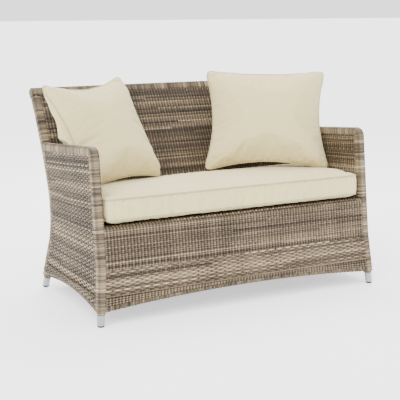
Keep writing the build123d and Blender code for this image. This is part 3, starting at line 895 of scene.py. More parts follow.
@dataclass(frozen=True)
class Weave:
    """How a panel is woven."""

    stake_pitch: float = 0.0135
    weft_pitch: float = 0.0072
    weft_width: float = 0.0068
    stake_width: float = 0.0044
    thick: float = 0.0018
    wave: float = 0.0015
    stake_wave: float = 0.0006
    weft_tone: float = 0.48
    stake_tone: float = 0.30
    stake_spread: float = 0.06
    spread: float = 0.11
    # Painted shade: how much darker a row is where it dips between stakes; crests are lighter by a quarter of
    # it.
    shade: float = 0.38
    drift: float = 0.05
    twined: bool = True


def on_line(share: float, line: np.ndarray) -> np.ndarray:
    """Point on a line of evenly spaced points.

    Args:
        share: Share of the way, from 0 to 1.
        line: The line.

    Returns:
        The point.
    """
    i = share * (len(line) - 1)
    j = min(int(i), len(line) - 2)
    return line[j] + (line[j + 1] - line[j]) * (i - j)


@dataclass
class Weaver:
    """Weaves panels and winds wraps, with one run of random draws."""

    stance: Stance
    material: bpy.types.Material
    draw: np.random.Generator
    # Painted shade: a very dark sheet behind each panel's rows stands for the shade inside the panel.
    backing_pitch: float = 0.02
    backing_depth: float = 0.0030
    backing_thick: float = 0.0004
    backing_tone: float = 0.04
    backing_lap: float = 1.25
    tick_width: float = 0.0054
    tick_thick: float = 0.0018
    tick_radius: float = 0.0108
    wrap_thick: float = 0.0021
    splice: tuple[float, float] = (0.25, 0.7)
    dark_odds: float = 0.14
    dark_by: tuple[float, float] = (0.08, 0.2)
    pale_odds: float = 0.16
    pale_by: tuple[float, float] = (0.06, 0.16)
    band_memory: float = 0.6
    wander: float = 0.07
    twist: float = 0.13
    wrap_sink: float = 0.0007
    wrap_rim: float = 0.10

    def row_tone(self, count: int, middle: float, spread: float, length: float) -> np.ndarray:
        """Tone along one strand: spliced lengths, each with its own shade, a few of them dark or pale.

        Args:
            count: Points along the strand.
            middle: Mean tone.
            spread: Spread of the tones.
            length: Length of the strand.

        Returns:
            Tones.
        """
        tones = np.zeros(count)
        start = 0
        while start < count:
            stretch = int(count * self.draw.uniform(*self.splice) / max(length, 0.3)) + 4
            tone = middle + self.draw.normal(0, spread)
            if self.draw.random() < self.dark_odds:
                tone -= self.draw.uniform(*self.dark_by)
            elif self.draw.random() < self.pale_odds:
                tone += self.draw.uniform(*self.pale_by)
            tones[start:start + stretch] = tone
            start += stretch
        return np.clip(tones, 0.02, 0.98)

    def panel(self, mesh: StrandMesh, patch: Patch, weave: Weave) -> None:
        """Weave one patch: its rows, a dark sheet of painted shade behind them and its stakes.

        Args:
            mesh: Where the strands go.
            patch: Surface that they lie on.
            weave: How it is woven.
        """
        length, height = patch.reach()
        stakes = max(int(round(length / weave.stake_pitch)), 2)
        rows = max(int(round(height / weave.weft_pitch)), 1)
        self.rows(mesh, patch, weave, rows, stakes, length)
        # Painted shade: dark strips a little behind the rows, so the gaps between strands read as the shaded
        # inside.
        v = np.linspace(0, 1, max(rows // 3, 2))
        strips = max(int(length / self.backing_pitch), 2)
        for strip in range(strips):
            spots, normals = patch.place(np.full(len(v), (strip + 0.5) / strips), v)
            mesh.ribbon(spots - normals * self.backing_depth, normals, self.backing_lap * length / strips,
                        self.backing_thick, np.full(len(v), self.backing_tone))
        v = np.linspace(0, 1, rows * 2 + 1)
        sunk = weave.wave if weave.twined else 0.0
        for stake in range(stakes):
            spots, normals = patch.place(np.full(len(v), (stake + 0.5) / stakes), v)
            lift = -weave.stake_wave * np.cos(math.pi * (v * rows - 0.5 + stake)) - sunk
            tones = self.row_tone(len(v), weave.stake_tone, weave.stake_spread, height)
            mesh.ribbon(spots + normals * lift[:, None], normals, weave.stake_width, weave.thick, tones)

    def rows(self, mesh: StrandMesh, patch: Patch, weave: Weave, rows: int, stakes: int,
             length: float) -> None:
        """Weave the strands along a patch, over and under its stakes, with painted shade in the dips.

        Args:
            mesh: Where the strands go.
            patch: Surface that they lie on.
            weave: How it is woven.
            rows: How many strands there are.
            stakes: How many stakes they pass.
            length: Length of the patch.
        """
        u = np.linspace(0, 1, stakes * 4 + 1)
        odd = np.floor(u * stakes).astype(int) % 2 == 1
        band = 0.0
        for row in range(rows):
            drift = self.wander / rows * np.sin(u * self.draw.uniform(4, 11) + self.draw.uniform(0, 6))
            band = self.band_memory * band + self.draw.normal(0, weave.drift)
            tones = self.row_tone(len(u), weave.weft_tone + band, weave.spread, length)
            if weave.twined:
                turn = FULL_TURN * (u * stakes - 0.5)
                beat = np.cos(turn)
                drift = drift + self.twist / rows * np.sin(turn)
                second = self.row_tone(len(u), weave.weft_tone + band, weave.spread, length)
                tones = np.where(odd, tones, 0.5 * tones + 0.5 * second)
            else:
                beat = np.cos(math.pi * (u * stakes - 0.5 + row))
                beat = np.sign(beat) * np.abs(beat) ** 0.7
            spots, normals = patch.place(u, (row + 0.5) / rows + drift)
            # Painted shade: darker where a row dips between stakes, a little lighter on its crests.
            tones = tones - weave.shade * (1 - beat) / 2 + 0.25 * weave.shade
            mesh.ribbon(spots + normals * (weave.wave * beat)[:, None], normals, weave.weft_width,
                        weave.thick, tones)

    def ticks(self, mesh: StrandMesh, border: Patch, rail: np.ndarray, inward: np.ndarray, pitch: float,
              tone: float) -> None:
        """Strands that run down a border and round its hem rail.

        Args:
            mesh: Where the strands go.
            border: Patch that they run down.
            rail: Points along the middle of the hem rail.
            inward: Unit vectors from the skin towards the inside of the sofa.
            pitch: Distance between strands.
            tone: Mean tone.
        """
        count = int(border.reach()[0] / pitch)
        v = np.linspace(0.34, 0.08, 3)
        turn = np.linspace(0.05, 1.15, 9)[:, None] * math.pi
        for k in range(count):
            u = (k + 0.5) / count
            spots, normals = border.place(np.full(len(v), u), v)
            inner = inward[min(int(u * (len(rail) - 1)), len(rail) - 2)]
            down = np.array([0.0, 0.0, -1.0])
            down = unit(down - inner * np.dot(down, inner))
            round_way = -inner * np.cos(turn) + down * np.sin(turn)
            path = np.concatenate([spots + normals * 0.0022, on_line(u, rail) + round_way * self.tick_radius])
            path[:, 0] += self.draw.normal(0, 0.0006) * (inner[0] == 0)
            mesh.ribbon(path, unit(np.concatenate([normals, round_way])), self.tick_width, self.tick_thick,
                        self.row_tone(len(path), tone, 0.06, 0.1))

    def wind(self, mesh: StrandMesh, centres: np.ndarray, sides: np.ndarray, fronts: np.ndarray, half: float,
             corner: float, width: float, tone: float) -> None:
        """Strands wound round a post, arm or rail of rounded square section.

        Args:
            mesh: Where the strands go.
            centres: Middle of each turn.
            sides: Unit vectors to the section's side at each turn.
            fronts: Unit vectors to its front.
            half: Half the section's side.
            corner: Rounding of the section.
            width: Width of a strand.
            tone: Mean tone.
        """
        quarters = [np.linspace(0, math.pi / 2, 6) + quarter * math.pi / 2 for quarter in range(4)]
        flat = np.repeat([(1, 1), (-1, 1), (-1, -1), (1, -1)], 6, axis=0) * (half - corner)
        turn = np.concatenate(quarters)
        way = np.stack([np.cos(turn), np.sin(turn)], -1)
        section = flat + corner * way
        round_once = np.linspace(0, FULL_TURN, len(turn))
        rim = self.wrap_rim * np.cos(4 * round_once)
        slow = 0.0
        for k, (centre, side, front) in enumerate(zip(centres, sides, fronts)):
            axes = np.stack([side, front])
            out = way @ axes
            skew = self.draw.normal(0, 0.0005) + 0.0006 * np.sin(round_once + k)
            path = centre + section @ axes + np.cross(side, front) * skew[:, None]
            path = path - out * (self.wrap_sink + 0.0004 * self.draw.random())
            slow += self.draw.normal(0, 0.04) - 0.25 * slow
            tones = tone + slow + self.draw.normal(0, 0.10) + rim
            mesh.ribbon(path, out, width, self.wrap_thick, tones, closed=True)

    def finish(self, mesh: StrandMesh, name: str, *nodes: str) -> None:
        """Turn gathered strands into a piece of the sofa that stands for some nodes."""
        declare(mesh.build(name, self.material), "frame", "weave", *nodes)


def spaced(path: np.ndarray, pitch: float) -> np.ndarray:
    """Points at an even pitch along a line of points.

    Args:
        path: The line.
        pitch: Distance between points.

    Returns:
        The new points.
    """
    run = walked(path)
    count = max(int(round(run[-1] / pitch)), 2)
    at = (np.arange(count) + 0.5) / count * run[-1]
    return np.stack([np.interp(at, run, path[:, k]) for k in range(3)], -1)


@dataclass
class WovenShell:
    """Every woven panel and wrap of the sofa."""

    weaver: Weaver
    strand: float = 0.0068
    overlap: float = 1.04
    border_tone: float = 0.42
    collar_turns: int = 4
    collar_half: float = 0.0152
    collar_width: float = 0.0038
    collar_start: float = 0.0031
    collar_pitch: float = 0.0026
    twist_width: float = 0.0034
    twist_proud: float = 0.0035
    ring_width: float = 0.0046
    ring_pitch: float = 0.0040
    tight: Weave = field(default_factory=Weave)
    streaky: Weave = field(default_factory=lambda: Weave(weft_tone=0.42))
    open_weave: Weave = field(default_factory=lambda: Weave(
        weft_pitch=0.0074, weft_width=0.0069, stake_pitch=0.0200, weft_tone=0.46, twined=False, shade=0.22,
        spread=0.13))
    flank: Weave = field(default_factory=lambda: Weave(
        stake_pitch=0.0180, weft_pitch=0.0076, weft_width=0.0070, weft_tone=0.41, twined=False, shade=0.30,
        spread=0.14))
    plain: Weave = field(default_factory=lambda: Weave(
        stake_pitch=0.016, weft_pitch=0.0085, weft_width=0.0074, stake_width=0.006))

    @property
    def stance(self) -> Stance:
        """Lines of the frame."""
        return self.weaver.stance

    def build(self) -> None:
        """Weave every panel and wind every wrap."""
        s = self.stance
        roll = s.rail + s.skin * (math.pi / 2 - s.front_lean + s.deck_slope)
        top = s.top - s.wrap_corner
        self.piece("front_skirt_weave", "front_skin", (SkirtPatch(s, s.mid_rail, roll), self.tight))
        self.piece("front_hem_weave", "", (SkirtPatch(s, s.border, s.mid_rail), self.open_weave),
                   (SkirtPatch(s, s.hem, s.border, arched=True), self.tight))
        self.piece("back_weave", "back_skin", (BackPatch(s, s.deck_z(s.rail) + s.panel, top), self.streaky))
        self.piece("rear_weave_upper", "rear_skin", (BackPatch(s, s.rail, top, rear=True), self.streaky))
        self.piece("rear_weave_lower", "", (BackPatch(s, s.border, s.rail, rear=True), self.tight),
                   (BackPatch(s, s.hem, s.border, arched=True, rear=True), self.tight))
        for side in Side:
            self.piece(f"side_weave_{side.word}", f"side_skin_{side.word}",
                       (FlankPatch(s, s.border, side=side), self.flank),
                       (FlankPatch(s, s.hem, s.border, arched=True, side=side), self.flank))
            self.piece(f"arm_inner_weave_{side.word}", f"arm_lining_{side.word}",
                       (LiningPatch(s, side=side), self.tight))
            self.arm_wrap(side)
            self.rear_wrap(side)
        self.top_wrap()
        self.piece("deck_weave", "seat_deck", (DeckPatch(s), self.plain))

    def piece(self, name: str, node: str, *panels: tuple[Patch, Weave]) -> None:
        """Weave one piece, with a bound border along every arched panel.

        Args:
            name: Name of the piece.
            node: Node that it stands for, or nothing where another piece already does.
            *panels: Its patches, each with its weave.
        """
        mesh = StrandMesh()
        for patch, weave in panels:
            self.weaver.panel(mesh, patch, weave)
            if patch.arched:
                self.border(mesh, patch)
        self.weaver.finish(mesh, name, *([node] if node else []))

    def border(self, mesh: StrandMesh, patch: Patch) -> None:
        """Bound border along a hem: ticks round the rail and a thin line of twist over them.

        Args:
            mesh: Where the strands go.
            patch: Panel whose lower edge is bound.
        """
        u = np.linspace(0, 1, 120)
        spots, normals = patch.place(u, 0 * u)
        rail = spots + normals * (-self.stance.skin + 0.0058) + np.array([0, 0, self.stance.hem_rail])
        self.weaver.ticks(mesh, patch, rail, -normals, self.strand, self.border_tone)
        edge, normals = patch.place(u, np.full(len(u), 0.97))
        for shift in (0.0, math.pi):
            turn = np.linspace(0, FULL_TURN * len(u) / 4, len(u)) + shift
            twist = edge + normals * (self.twist_proud + 0.0012 * np.cos(turn))[:, None]
            twist[:, 2] += 0.0016 * np.sin(turn)
            mesh.ribbon(twist, normals, self.twist_width, 0.0016, self.weaver.row_tone(len(u), 0.4, 0.1, 1.2))

    def wound(self, centres: np.ndarray, side: Side, half: float, kind: str, tone: float) -> None:
        """Wind a wrap round a line in the side view, with a collar that draws in to the bare leg end.

        Args:
            centres: Middle of each turn.
            side: Side of the sofa.
            half: Half the wrap's section.
            kind: Word for the wrap in the names of its piece and its node.
            tone: Mean tone.
        """
        along = unit(np.gradient(centres, axis=0))
        sides = np.broadcast_to(np.array([float(side.value), 0, 0]), along.shape)
        fronts = unit(np.cross(along, sides))
        sides = unit(np.cross(fronts, along))
        mesh, rounding = StrandMesh(), self.stance.wrap_corner
        self.weaver.wind(mesh, centres, sides, fronts, half, rounding, self.strand * self.overlap, tone)
        for k in range(self.collar_turns):
            share = (k + 1) / self.collar_turns
            size = half - 0.001 + (self.collar_half - half + 0.001) * share
            spot = centres[:1] - along[:1] * (self.collar_start + self.collar_pitch * k)
            corner = min(size - 0.0002, rounding + (self.collar_half - rounding) * share)
            self.weaver.wind(mesh, spot, sides[:1], fronts[:1], size, corner, self.collar_width, tone - 0.05)
        self.weaver.finish(mesh, f"{kind}_wrap_weave_{side.word}", f"{kind}_wrap_{side.word}")

    def arm_wrap(self, side: Side) -> None:
        """Wrap of a front post and its arm.

        Args:
            side: Side of the sofa.
        """
        s = self.stance
        low = np.linspace(s.hem, s.arm_corner - s.arm_bend, 60)
        post = stacked(side.value * s.x_at(low), s.front_y(low), low)
        corner_y = s.front_y(s.arm_corner)
        end_y = float(s.rear_y(s.arm_corner - 0.05)) - s.post_wrap
        arm_y = np.linspace(corner_y + s.arm_bend, end_y, 60)
        arm = stacked(side.value * s.post_x, arm_y, s.arm_z(arm_y))
        pivot = np.array([side.value * s.post_x, corner_y, s.arm_corner])
        bend = rounded(post[-1], pivot, arm[0], 12)
        corner = np.concatenate([post[-1:], bend, arm[:1]])
        centres = np.concatenate([spaced(post, self.strand), spaced(corner, 0.5 * self.strand),
                                  spaced(arm, self.strand)])
        self.wound(centres, side, s.arm_wrap, "arm", 0.44)

    def rear_wrap(self, side: Side) -> None:
        """Wrap of a rear post.

        Args:
            side: Side of the sofa.
        """
        s = self.stance
        z = np.linspace(s.hem, s.top - s.top_wrap, 160)
        line = stacked(side.value * s.x_at(z), s.rear_y(z), z)
        self.wound(spaced(line, self.strand), side, s.post_wrap, "rear", 0.42)

    def top_wrap(self) -> None:
        """Wrap of the top rail, wound round and round, with flat rings over its ends."""
        s = self.stance
        half = s.post_x + s.top_wrap
        x = np.linspace(-half + 0.003, half - 0.003, 200)
        centres = spaced(stacked(x, float(s.rear_y(s.top)), s.top), self.strand)
        lean = float(s.lean(s.top))
        up = np.broadcast_to(np.array([0, math.sin(lean), math.cos(lean)]), centres.shape)
        out = np.broadcast_to(np.array([0, -math.cos(lean), math.sin(lean)]), centres.shape)
        mesh = StrandMesh()
        self.weaver.wind(mesh, centres, up, out, s.top_wrap, s.wrap_corner, self.strand * self.overlap, 0.40)
        turn = np.linspace(0, FULL_TURN, 32, endpoint=False)
        square = np.maximum(np.abs(np.cos(turn)), np.abs(np.sin(turn)))
        for end in (-1, 1):
            face = np.broadcast_to(np.array([float(end), 0, 0]), (len(turn), 3))
            rim = centres[0] * (0, 1, 1) + face * (half - 0.0016)
            for size in np.arange(s.top_wrap - 0.0024, 0, -self.ring_pitch):
                grow = (size / square ** 0.75)[:, None]
                path = rim + grow * np.cos(turn)[:, None] * up[:1] + grow * np.sin(turn)[:, None] * out[:1]
                tones = np.full(len(turn), 0.42 + self.weaver.draw.normal(0, 0.08))
                mesh.ribbon(path, face, self.ring_width, 0.0018, tones, closed=True)
        self.weaver.finish(mesh, "top_wrap_weave", "back_top_wrap")


def rounded(start: np.ndarray, pivot: np.ndarray, end: np.ndarray, count: int) -> np.ndarray:
    """Points between start and end of a curve that bends towards pivot."""
    t = np.linspace(0, 1, count)[1:-1, None]
    return (1 - t) ** 2 * start + 2 * t * (1 - t) * pivot + t ** 2 * end


class Padding:
    """Shared work on stuffed pieces: outlines, meshes through rings, remeshing and smoothing."""

    side_points = 56
    corner_points = 9

    @classmethod
    def outline(cls, half_x: float, half_y: float, draws: tuple[float, ...], corner: float) -> np.ndarray:
        """Closed outline whose sides pull in between rounded corners.

        Args:
            half_x: Half width at the corners.
            half_y: Half depth at the corners.
            draws: How far the lower, right, upper and left sides pull in.
            corner: Rounding of the corners.

        Returns:
            Points in the plane.
        """
        s = np.linspace(-1, 1, cls.side_points)
        pulls = [draw * (1 - s ** 2) for draw in draws]
        reach_x, reach_y = s * (half_x - corner), s * (half_y - corner)
        sides = [np.stack(pair, -1) for pair in (
            (reach_x, pulls[0] - half_y), (half_x - pulls[1], reach_y),
            (-reach_x, half_y - pulls[2]), (pulls[3] - half_x, -reach_y))]
        points = []
        for k, side in enumerate(sides):
            start, end = side[-1], sides[(k + 1) % 4][0]
            pivot = np.array([end[0], start[1]] if k % 2 == 0 else [start[0], end[1]])
            points += [side, rounded(start, pivot, end, cls.corner_points)]
        return np.concatenate(points)

    @staticmethod
    def from_rings(name: str, rings: list[np.ndarray]) -> bpy.types.Object:
        """Closed mesh through rings of points, fanned at both ends.

        Args:
            name: Name of the piece.
            rings: Rings of equal length, lowest first.

        Returns:
            The object.
        """
        n = len(rings[0])
        points = np.concatenate([*rings, rings[0].mean(0)[None], rings[-1].mean(0)[None]])
        low, high, last = len(points) - 2, len(points) - 1, (len(rings) - 1) * n
        faces = [(r + k, r + (k + 1) % n, r + n + (k + 1) % n, r + n + k)
                 for r in range(0, last, n) for k in range(n)]
        faces += [((k + 1) % n, k, low) for k in range(n)]
        faces += [(last + k, last + (k + 1) % n, high) for k in range(n)]
        mesh = bpy.data.meshes.new(name)
        mesh.from_pydata(points.tolist(), [], faces)
        return added(name, mesh)

    @staticmethod
    def remesh(piece: bpy.types.Object, voxel: float) -> None:
        """Give a piece even faces.

        Args:
            piece: The piece.
            voxel: Size of a face.
        """
        mod = piece.modifiers.new("even", "REMESH")
        mod.mode = "VOXEL"
        mod.voxel_size = voxel
        mod.use_smooth_shade = True
        graph = bpy.context.evaluated_depsgraph_get()
        mesh = bpy.data.meshes.new_from_object(piece.evaluated_get(graph))
        piece.modifiers.clear()
        old = piece.data
        piece.data = mesh
        bpy.data.meshes.remove(old)

    @staticmethod
    def coords(mesh: bpy.types.Mesh) -> np.ndarray:
        """Points of a mesh.

        Args:
            mesh: The mesh.

        Returns:
            A row for each point.
        """
        flat = np.empty(len(mesh.vertices) * 3)
        mesh.vertices.foreach_get("co", flat)
        return flat.reshape(-1, 3)

    @staticmethod
    def set_coords(mesh: bpy.types.Mesh, points: np.ndarray) -> None:
        """Move the points of a mesh."""
        mesh.vertices.foreach_set("co", points.ravel())
        mesh.update()

    @classmethod
    def smooth(cls, mesh: bpy.types.Mesh, rounds: int, free: np.ndarray | float = 1.0) -> None:
        """Even out a mesh by its neighbours.

        Args:
            mesh: The mesh.
            rounds: How many times.
            free: How far each point may follow, from 0 to 1.
        """
        edges = np.empty(len(mesh.edges) * 2, dtype=np.int64)
        mesh.edges.foreach_get("vertices", edges)
        a, b = edges.reshape(-1, 2).T
        points = cls.coords(mesh)
        n = len(points)
        count = np.maximum(np.bincount(a, minlength=n) + np.bincount(b, minlength=n), 1)[:, None]
        share = 0.6 * np.broadcast_to(free, n)[:, None]
        for _ in range(rounds):
            total = np.stack([np.bincount(a, points[b, k], n) + np.bincount(b, points[a, k], n)
                              for k in range(3)], -1)
            points = points + (total / count - points) * share
        cls.set_coords(mesh, points)


@dataclass
class Stuffed:
    """A piece ready to be inflated: its object, what holds its seams and how far it may swell."""

    piece: bpy.types.Object
    held: np.ndarray
    pressure: float
    slack: float
    cap: float


CLOTH_SETTINGS = {
    "quality": 5, "mass": 0.3, "tension_stiffness": 15, "compression_stiffness": 15, "shear_stiffness": 6,
    "bending_stiffness": 0.35, "use_pressure": True, "vertex_group_mass": "seams", "pin_stiffness": 1.0}


def inflate(jobs: list[Stuffed]) -> None:
    """Inflate stuffed pieces side by side as cloth, then keep the result in their meshes.

    Args:
        jobs: The pieces.
    """
    for job in jobs:
        group = job.piece.vertex_groups.new(name="seams")
        for level in (1.0, 0.6, 0.3):
            chosen = np.where((job.held > level - 0.15) & (job.held <= level + 0.15))[0]
            group.add(chosen.tolist(), level, "REPLACE")
        mod = job.piece.modifiers.new("cloth", "CLOTH")
        for name, value in CLOTH_SETTINGS.items():
            setattr(mod.settings, name, value)
        mod.settings.uniform_pressure_force = job.pressure
        mod.settings.shrink_min = -job.slack
        mod.settings.effector_weights.gravity = 0.0
        mod.point_cache.frame_start = 1
        mod.point_cache.frame_end = INFLATE_FRAMES
    scene = bpy.context.scene
    for frame in range(1, INFLATE_FRAMES + 1):
        scene.frame_set(frame)
    graph = bpy.context.evaluated_depsgraph_get()
    for job in jobs:
        start = Padding.coords(job.piece.data)
        move = np.nan_to_num(Padding.coords(job.piece.evaluated_get(graph).to_mesh()) - start)
        size = np.linalg.norm(move, axis=1, keepdims=True)
        move *= np.minimum(1.0, job.cap / np.maximum(size, 1e-9))
        job.piece.modifiers.clear()
        job.piece.vertex_groups.clear()
        Padding.set_coords(job.piece.data, start + move)
        log.info("%s: moved up to %.1f mm", job.piece.name, 1000 * float(size.max()))
    scene.frame_set(1)


def near_line(points: np.ndarray, line: np.ndarray) -> np.ndarray:
    """Distance of each point from a closed line.

    Args:
        points: The points.
        line: Points of the line.

    Returns:
        The distances.
    """
    tree = KDTree(len(line))
    for k, p in enumerate(line):
        tree.insert(p, k)
    tree.balance()
    return np.array([tree.find(p)[2] for p in points])


def seated(points: np.ndarray, tree: BVHTree, out: np.ndarray, reach: float) -> np.ndarray:
    """Line moved on to a surface, then out of it.

    Args:
        points: The line.
        tree: The surface.
        out: Directions away from the piece at each point.
        reach: Distance from the surface.

    Returns:
        The moved line.
    """
    line = np.array([np.array(tree.find_nearest(Vector(p))[0]) + d * reach for p, d in zip(points, out)])
    for _ in range(3):
        line = (np.roll(line, 1, 0) + 2 * line + np.roll(line, -1, 0)) / 4
    return line


@dataclass
class SeatCushion:
    """Boxed seat cushion with piping round both its seams."""

    stance: Stance
    cloth: bpy.types.Material
    piping: bpy.types.Material
    zip_plastic: bpy.types.Material
    side_gap: float = 0.010
    back_gap: float = 0.009
    overhang: float = -0.006
    lower: float = 0.0183
    band: float = 0.083
    crown: float = 0.015
    draw: float = 0.005
    corner: float = 0.026
    cord: float = 0.0031
    voxel: float = 0.006
    pressure: float = 3.0
    slack: float = 0.018
    cap: float = 0.010
    band_gather: float = 0.0052
    top_gather: float = 0.0040
    end_seam_inset: float = 0.036
    end_seam_depth: float = 0.0022
    dip: float = 0.0026
    zip_half: float = 0.41
    teeth: int = 270

    def __post_init__(self) -> None:
        """Work out the cushion's place from the frame."""
        s = self.stance
        self.half_x = s.post_x - s.post_wrap - self.side_gap
        front = s.rail_point[1] - s.panel - self.overhang
        back = float(s.rear_y(s.deck_z(s.rail) + s.panel + self.lower)) - s.panel - self.back_gap
        self.half_y = (back - front) / math.cos(s.deck_slope) / 2
        top = s.rail_point + s.deck_up * s.panel
        self.origin = top + s.deck_way * (((front + back) / 2 - top[1]) / s.deck_way[1])

    def world(self, local: np.ndarray) -> np.ndarray:
        """Points of the cushion's own plane in the frame of the sofa.

        Args:
            local: The points, with heights over the deck.

        Returns:
            The moved points.
        """
        s = self.stance
        return (self.origin + local[:, :1] * np.array([1.0, 0, 0]) + local[:, 1:2] * s.deck_way
                + local[:, 2:3] * s.deck_up)

    def ring(self, inset: float, height: float, swell: float = 0.0) -> np.ndarray:
        """Level outline of the cushion.

        Args:
            inset: How far it is moved in.
            height: Height over the deck.
            swell: How far it is moved out.

        Returns:
            Points of the outline.
        """
        flat = Padding.outline(self.half_x - inset + swell, self.half_y - inset + swell, (self.draw,) * 4,
                               max(self.corner - inset * 0.3, 0.012))
        return np.column_stack([flat, np.full(len(flat), height)])

    def build(self) -> Stuffed:
        """Make the cushion, ready to be inflated.

        Returns:
            What the inflating needs.
        """
        high, depth = self.lower + self.band, 2 * self.half_y
        rings = [self.ring(inset * depth, 0.0012 + rise * self.lower)
                 for inset, rise in ((0.34, 0.0), (0.13, 0.02), (0.045, 0.42), (0.015, 0.75))]
        rings += [self.ring(0.0, self.lower + share * self.band, swell) for share, swell in (
            (0.0, 0.0), (0.2, 0.0016), (0.5, 0.0028), (0.8, 0.0016), (1.0, 0.0))]
        rings += [self.ring(inset * depth, high + rise * self.crown * 0.8) for inset, rise in (
            (0.012, 0.3), (0.04, 0.52), (0.1, 0.72), (0.2, 0.88), (0.33, 1.0))]
        self.piece = Padding.from_rings("seat_cushion", rings)
        Padding.remesh(self.piece, self.voxel)
        Padding.smooth(self.piece.data, 8)
        points = Padding.coords(self.piece.data)
        seams = np.concatenate([self.ring(0, self.lower), self.ring(0, self.lower + self.band)])
        gap = near_line(points, seams)
        held = np.clip(1.25 - gap / 0.009, 0, 1)
        held[points[:, 2] < 0.004] = 1.0
        return Stuffed(self.piece, held, self.pressure, self.slack, self.cap)

    def pucker(self) -> None:
        """Small gathers where the cloth is sewn to the piping, end seams, and soft dips in the top."""
        draw = np.random.default_rng(21)
        points = Padding.coords(self.piece.data)
        x, y, z = points.T
        high = self.lower + self.band
        waves = [(draw.uniform(90, 240), draw.uniform(0, 6.3), draw.uniform(0.4, 1.0)) for _ in range(7)]
        ends = np.abs(x) / self.half_x > np.abs(y) / self.half_y
        run = np.where(ends, y, x)
        beat = sum(a * np.sin(run * f + p) for f, p, a in waves) / 3.2
        beat = beat * (0.35 + 0.65 * np.sin(run * 9.0 + 1.1) ** 2)
        edge = np.minimum(self.half_x - np.abs(x), self.half_y - np.abs(y))
        on_band, on_top = (z > self.lower) & (z < high), z > high
        to_seam = np.minimum(np.abs(z - self.lower), np.abs(z - high))
        band_depth = self.band_gather * np.exp(-to_seam / 0.026) * (1 - np.exp(-to_seam / 0.005)) * on_band
        inward = np.maximum(edge, 0)
        top_depth = self.top_gather * np.exp(-edge / 0.034) * (1 - np.exp(-inward / 0.008)) * on_top
        out = np.column_stack([np.sign(x) * ends, np.sign(y) * ~ends, 0 * run])
        moved = points + out * (beat * band_depth)[:, None]
        seam = np.exp(-((np.abs(x) - self.half_x + self.end_seam_inset) / 0.0028) ** 2)
        moved[:, 1] -= np.sign(y) * self.end_seam_depth * seam * on_band * ~ends
        slow = sum(np.sin(x * f + p) * np.sin(y * f * 1.6 + p * 2) * a
                   for f, p, a in ((7.0, 0.4, 1.0), (13.0, 2.2, 0.5)))
        moved[:, 2] += beat * top_depth + self.dip * slow * np.clip(edge / 0.08, 0, 1) * on_top
        Padding.set_coords(self.piece.data, moved)

    def dress(self) -> None:
        """Put the cushion in its place, with its piping and zip."""
        self.pucker()
        Padding.set_coords(self.piece.data, self.world(Padding.coords(self.piece.data)))
        finish_padded(self.piece, self.cloth, "seat_cushion", "seat_cloth", ("seat_cover", "seat_core"))
        self.tree = BVHTree.FromObject(self.piece, bpy.context.evaluated_depsgraph_get())
        for word, height in (("upper", self.lower + self.band), ("lower", self.lower)):
            ring = self.ring(0, height)
            away = [ring[:, k] / half * (np.abs(ring[:, k]) > half - 0.03)
                    for k, half in enumerate((self.half_x, self.half_y))]
            out = unit(self.world(unit(np.column_stack([*away, np.zeros(len(ring))]))) - self.origin)
            mesh = StrandMesh()
            mesh.cord(seated(self.world(ring), self.tree, out, self.cord * 0.7), self.cord, 0.5)
            cord = mesh.build(f"seat_cord_{word}", self.piping)
            declare(cord, "seat_cushion", "piping", f"seat_piping_{word}")
        self.zip_line()

    def zip_line(self) -> None:
        """Zip in the rear band: two rows of teeth on a tape."""
        mesh = StrandMesh()

        def line(x: np.ndarray, rise: np.ndarray, proud: float) -> np.ndarray:
            """Points over the rear band's middle."""
            depth = self.half_y - self.draw * (1 - (x / self.half_x) ** 2) + proud
            return self.world(np.column_stack([x, depth, self.lower + self.band / 2 + rise + 0 * x]))

        x = np.linspace(-self.zip_half, self.zip_half, 120)
        out = np.broadcast_to(self.stance.deck_way, (len(x), 3))
        for shift in (0.006, -0.006):
            mesh.ribbon(line(x, shift, 0.0045), out, 0.011, 0.0014, np.full(len(x), 0.5))
        for k, spot in enumerate(np.linspace(0.005 - self.zip_half, self.zip_half - 0.005, self.teeth)):
            rise = (0.0011 if k % 2 else -0.0011) + np.array([-0.0016, 0.0016])
            mesh.ribbon(line(np.full(2, spot), rise, 0.0052), out[:2], 0.0018, 0.0014, np.full(2, 0.9))
        declare(mesh.build("seat_zip_line", self.zip_plastic), "seat_cushion", "zip", "seat_zip")


def finish_padded(piece: bpy.types.Object, material: bpy.types.Material, body: str, slot: str,
                  nodes: tuple[str, ...]) -> None:
    """Give a stuffed piece its subdivision, material, body and declaration.

    Args:
        piece: The piece.
        material: Its cloth.
        body: Body that it rides on.
        slot: Material slot of the record.
        nodes: Nodes that it stands for.
    """
    piece.data.materials.clear()
    piece.data.materials.append(material)
    piece.data.polygons.foreach_set("use_smooth", np.ones(len(piece.data.polygons), dtype=bool))
    mod = piece.modifiers.new("finer", "SUBSURF")
    mod.levels = 1
    mod.render_levels = 1
    declare(piece, body, slot, *nodes)


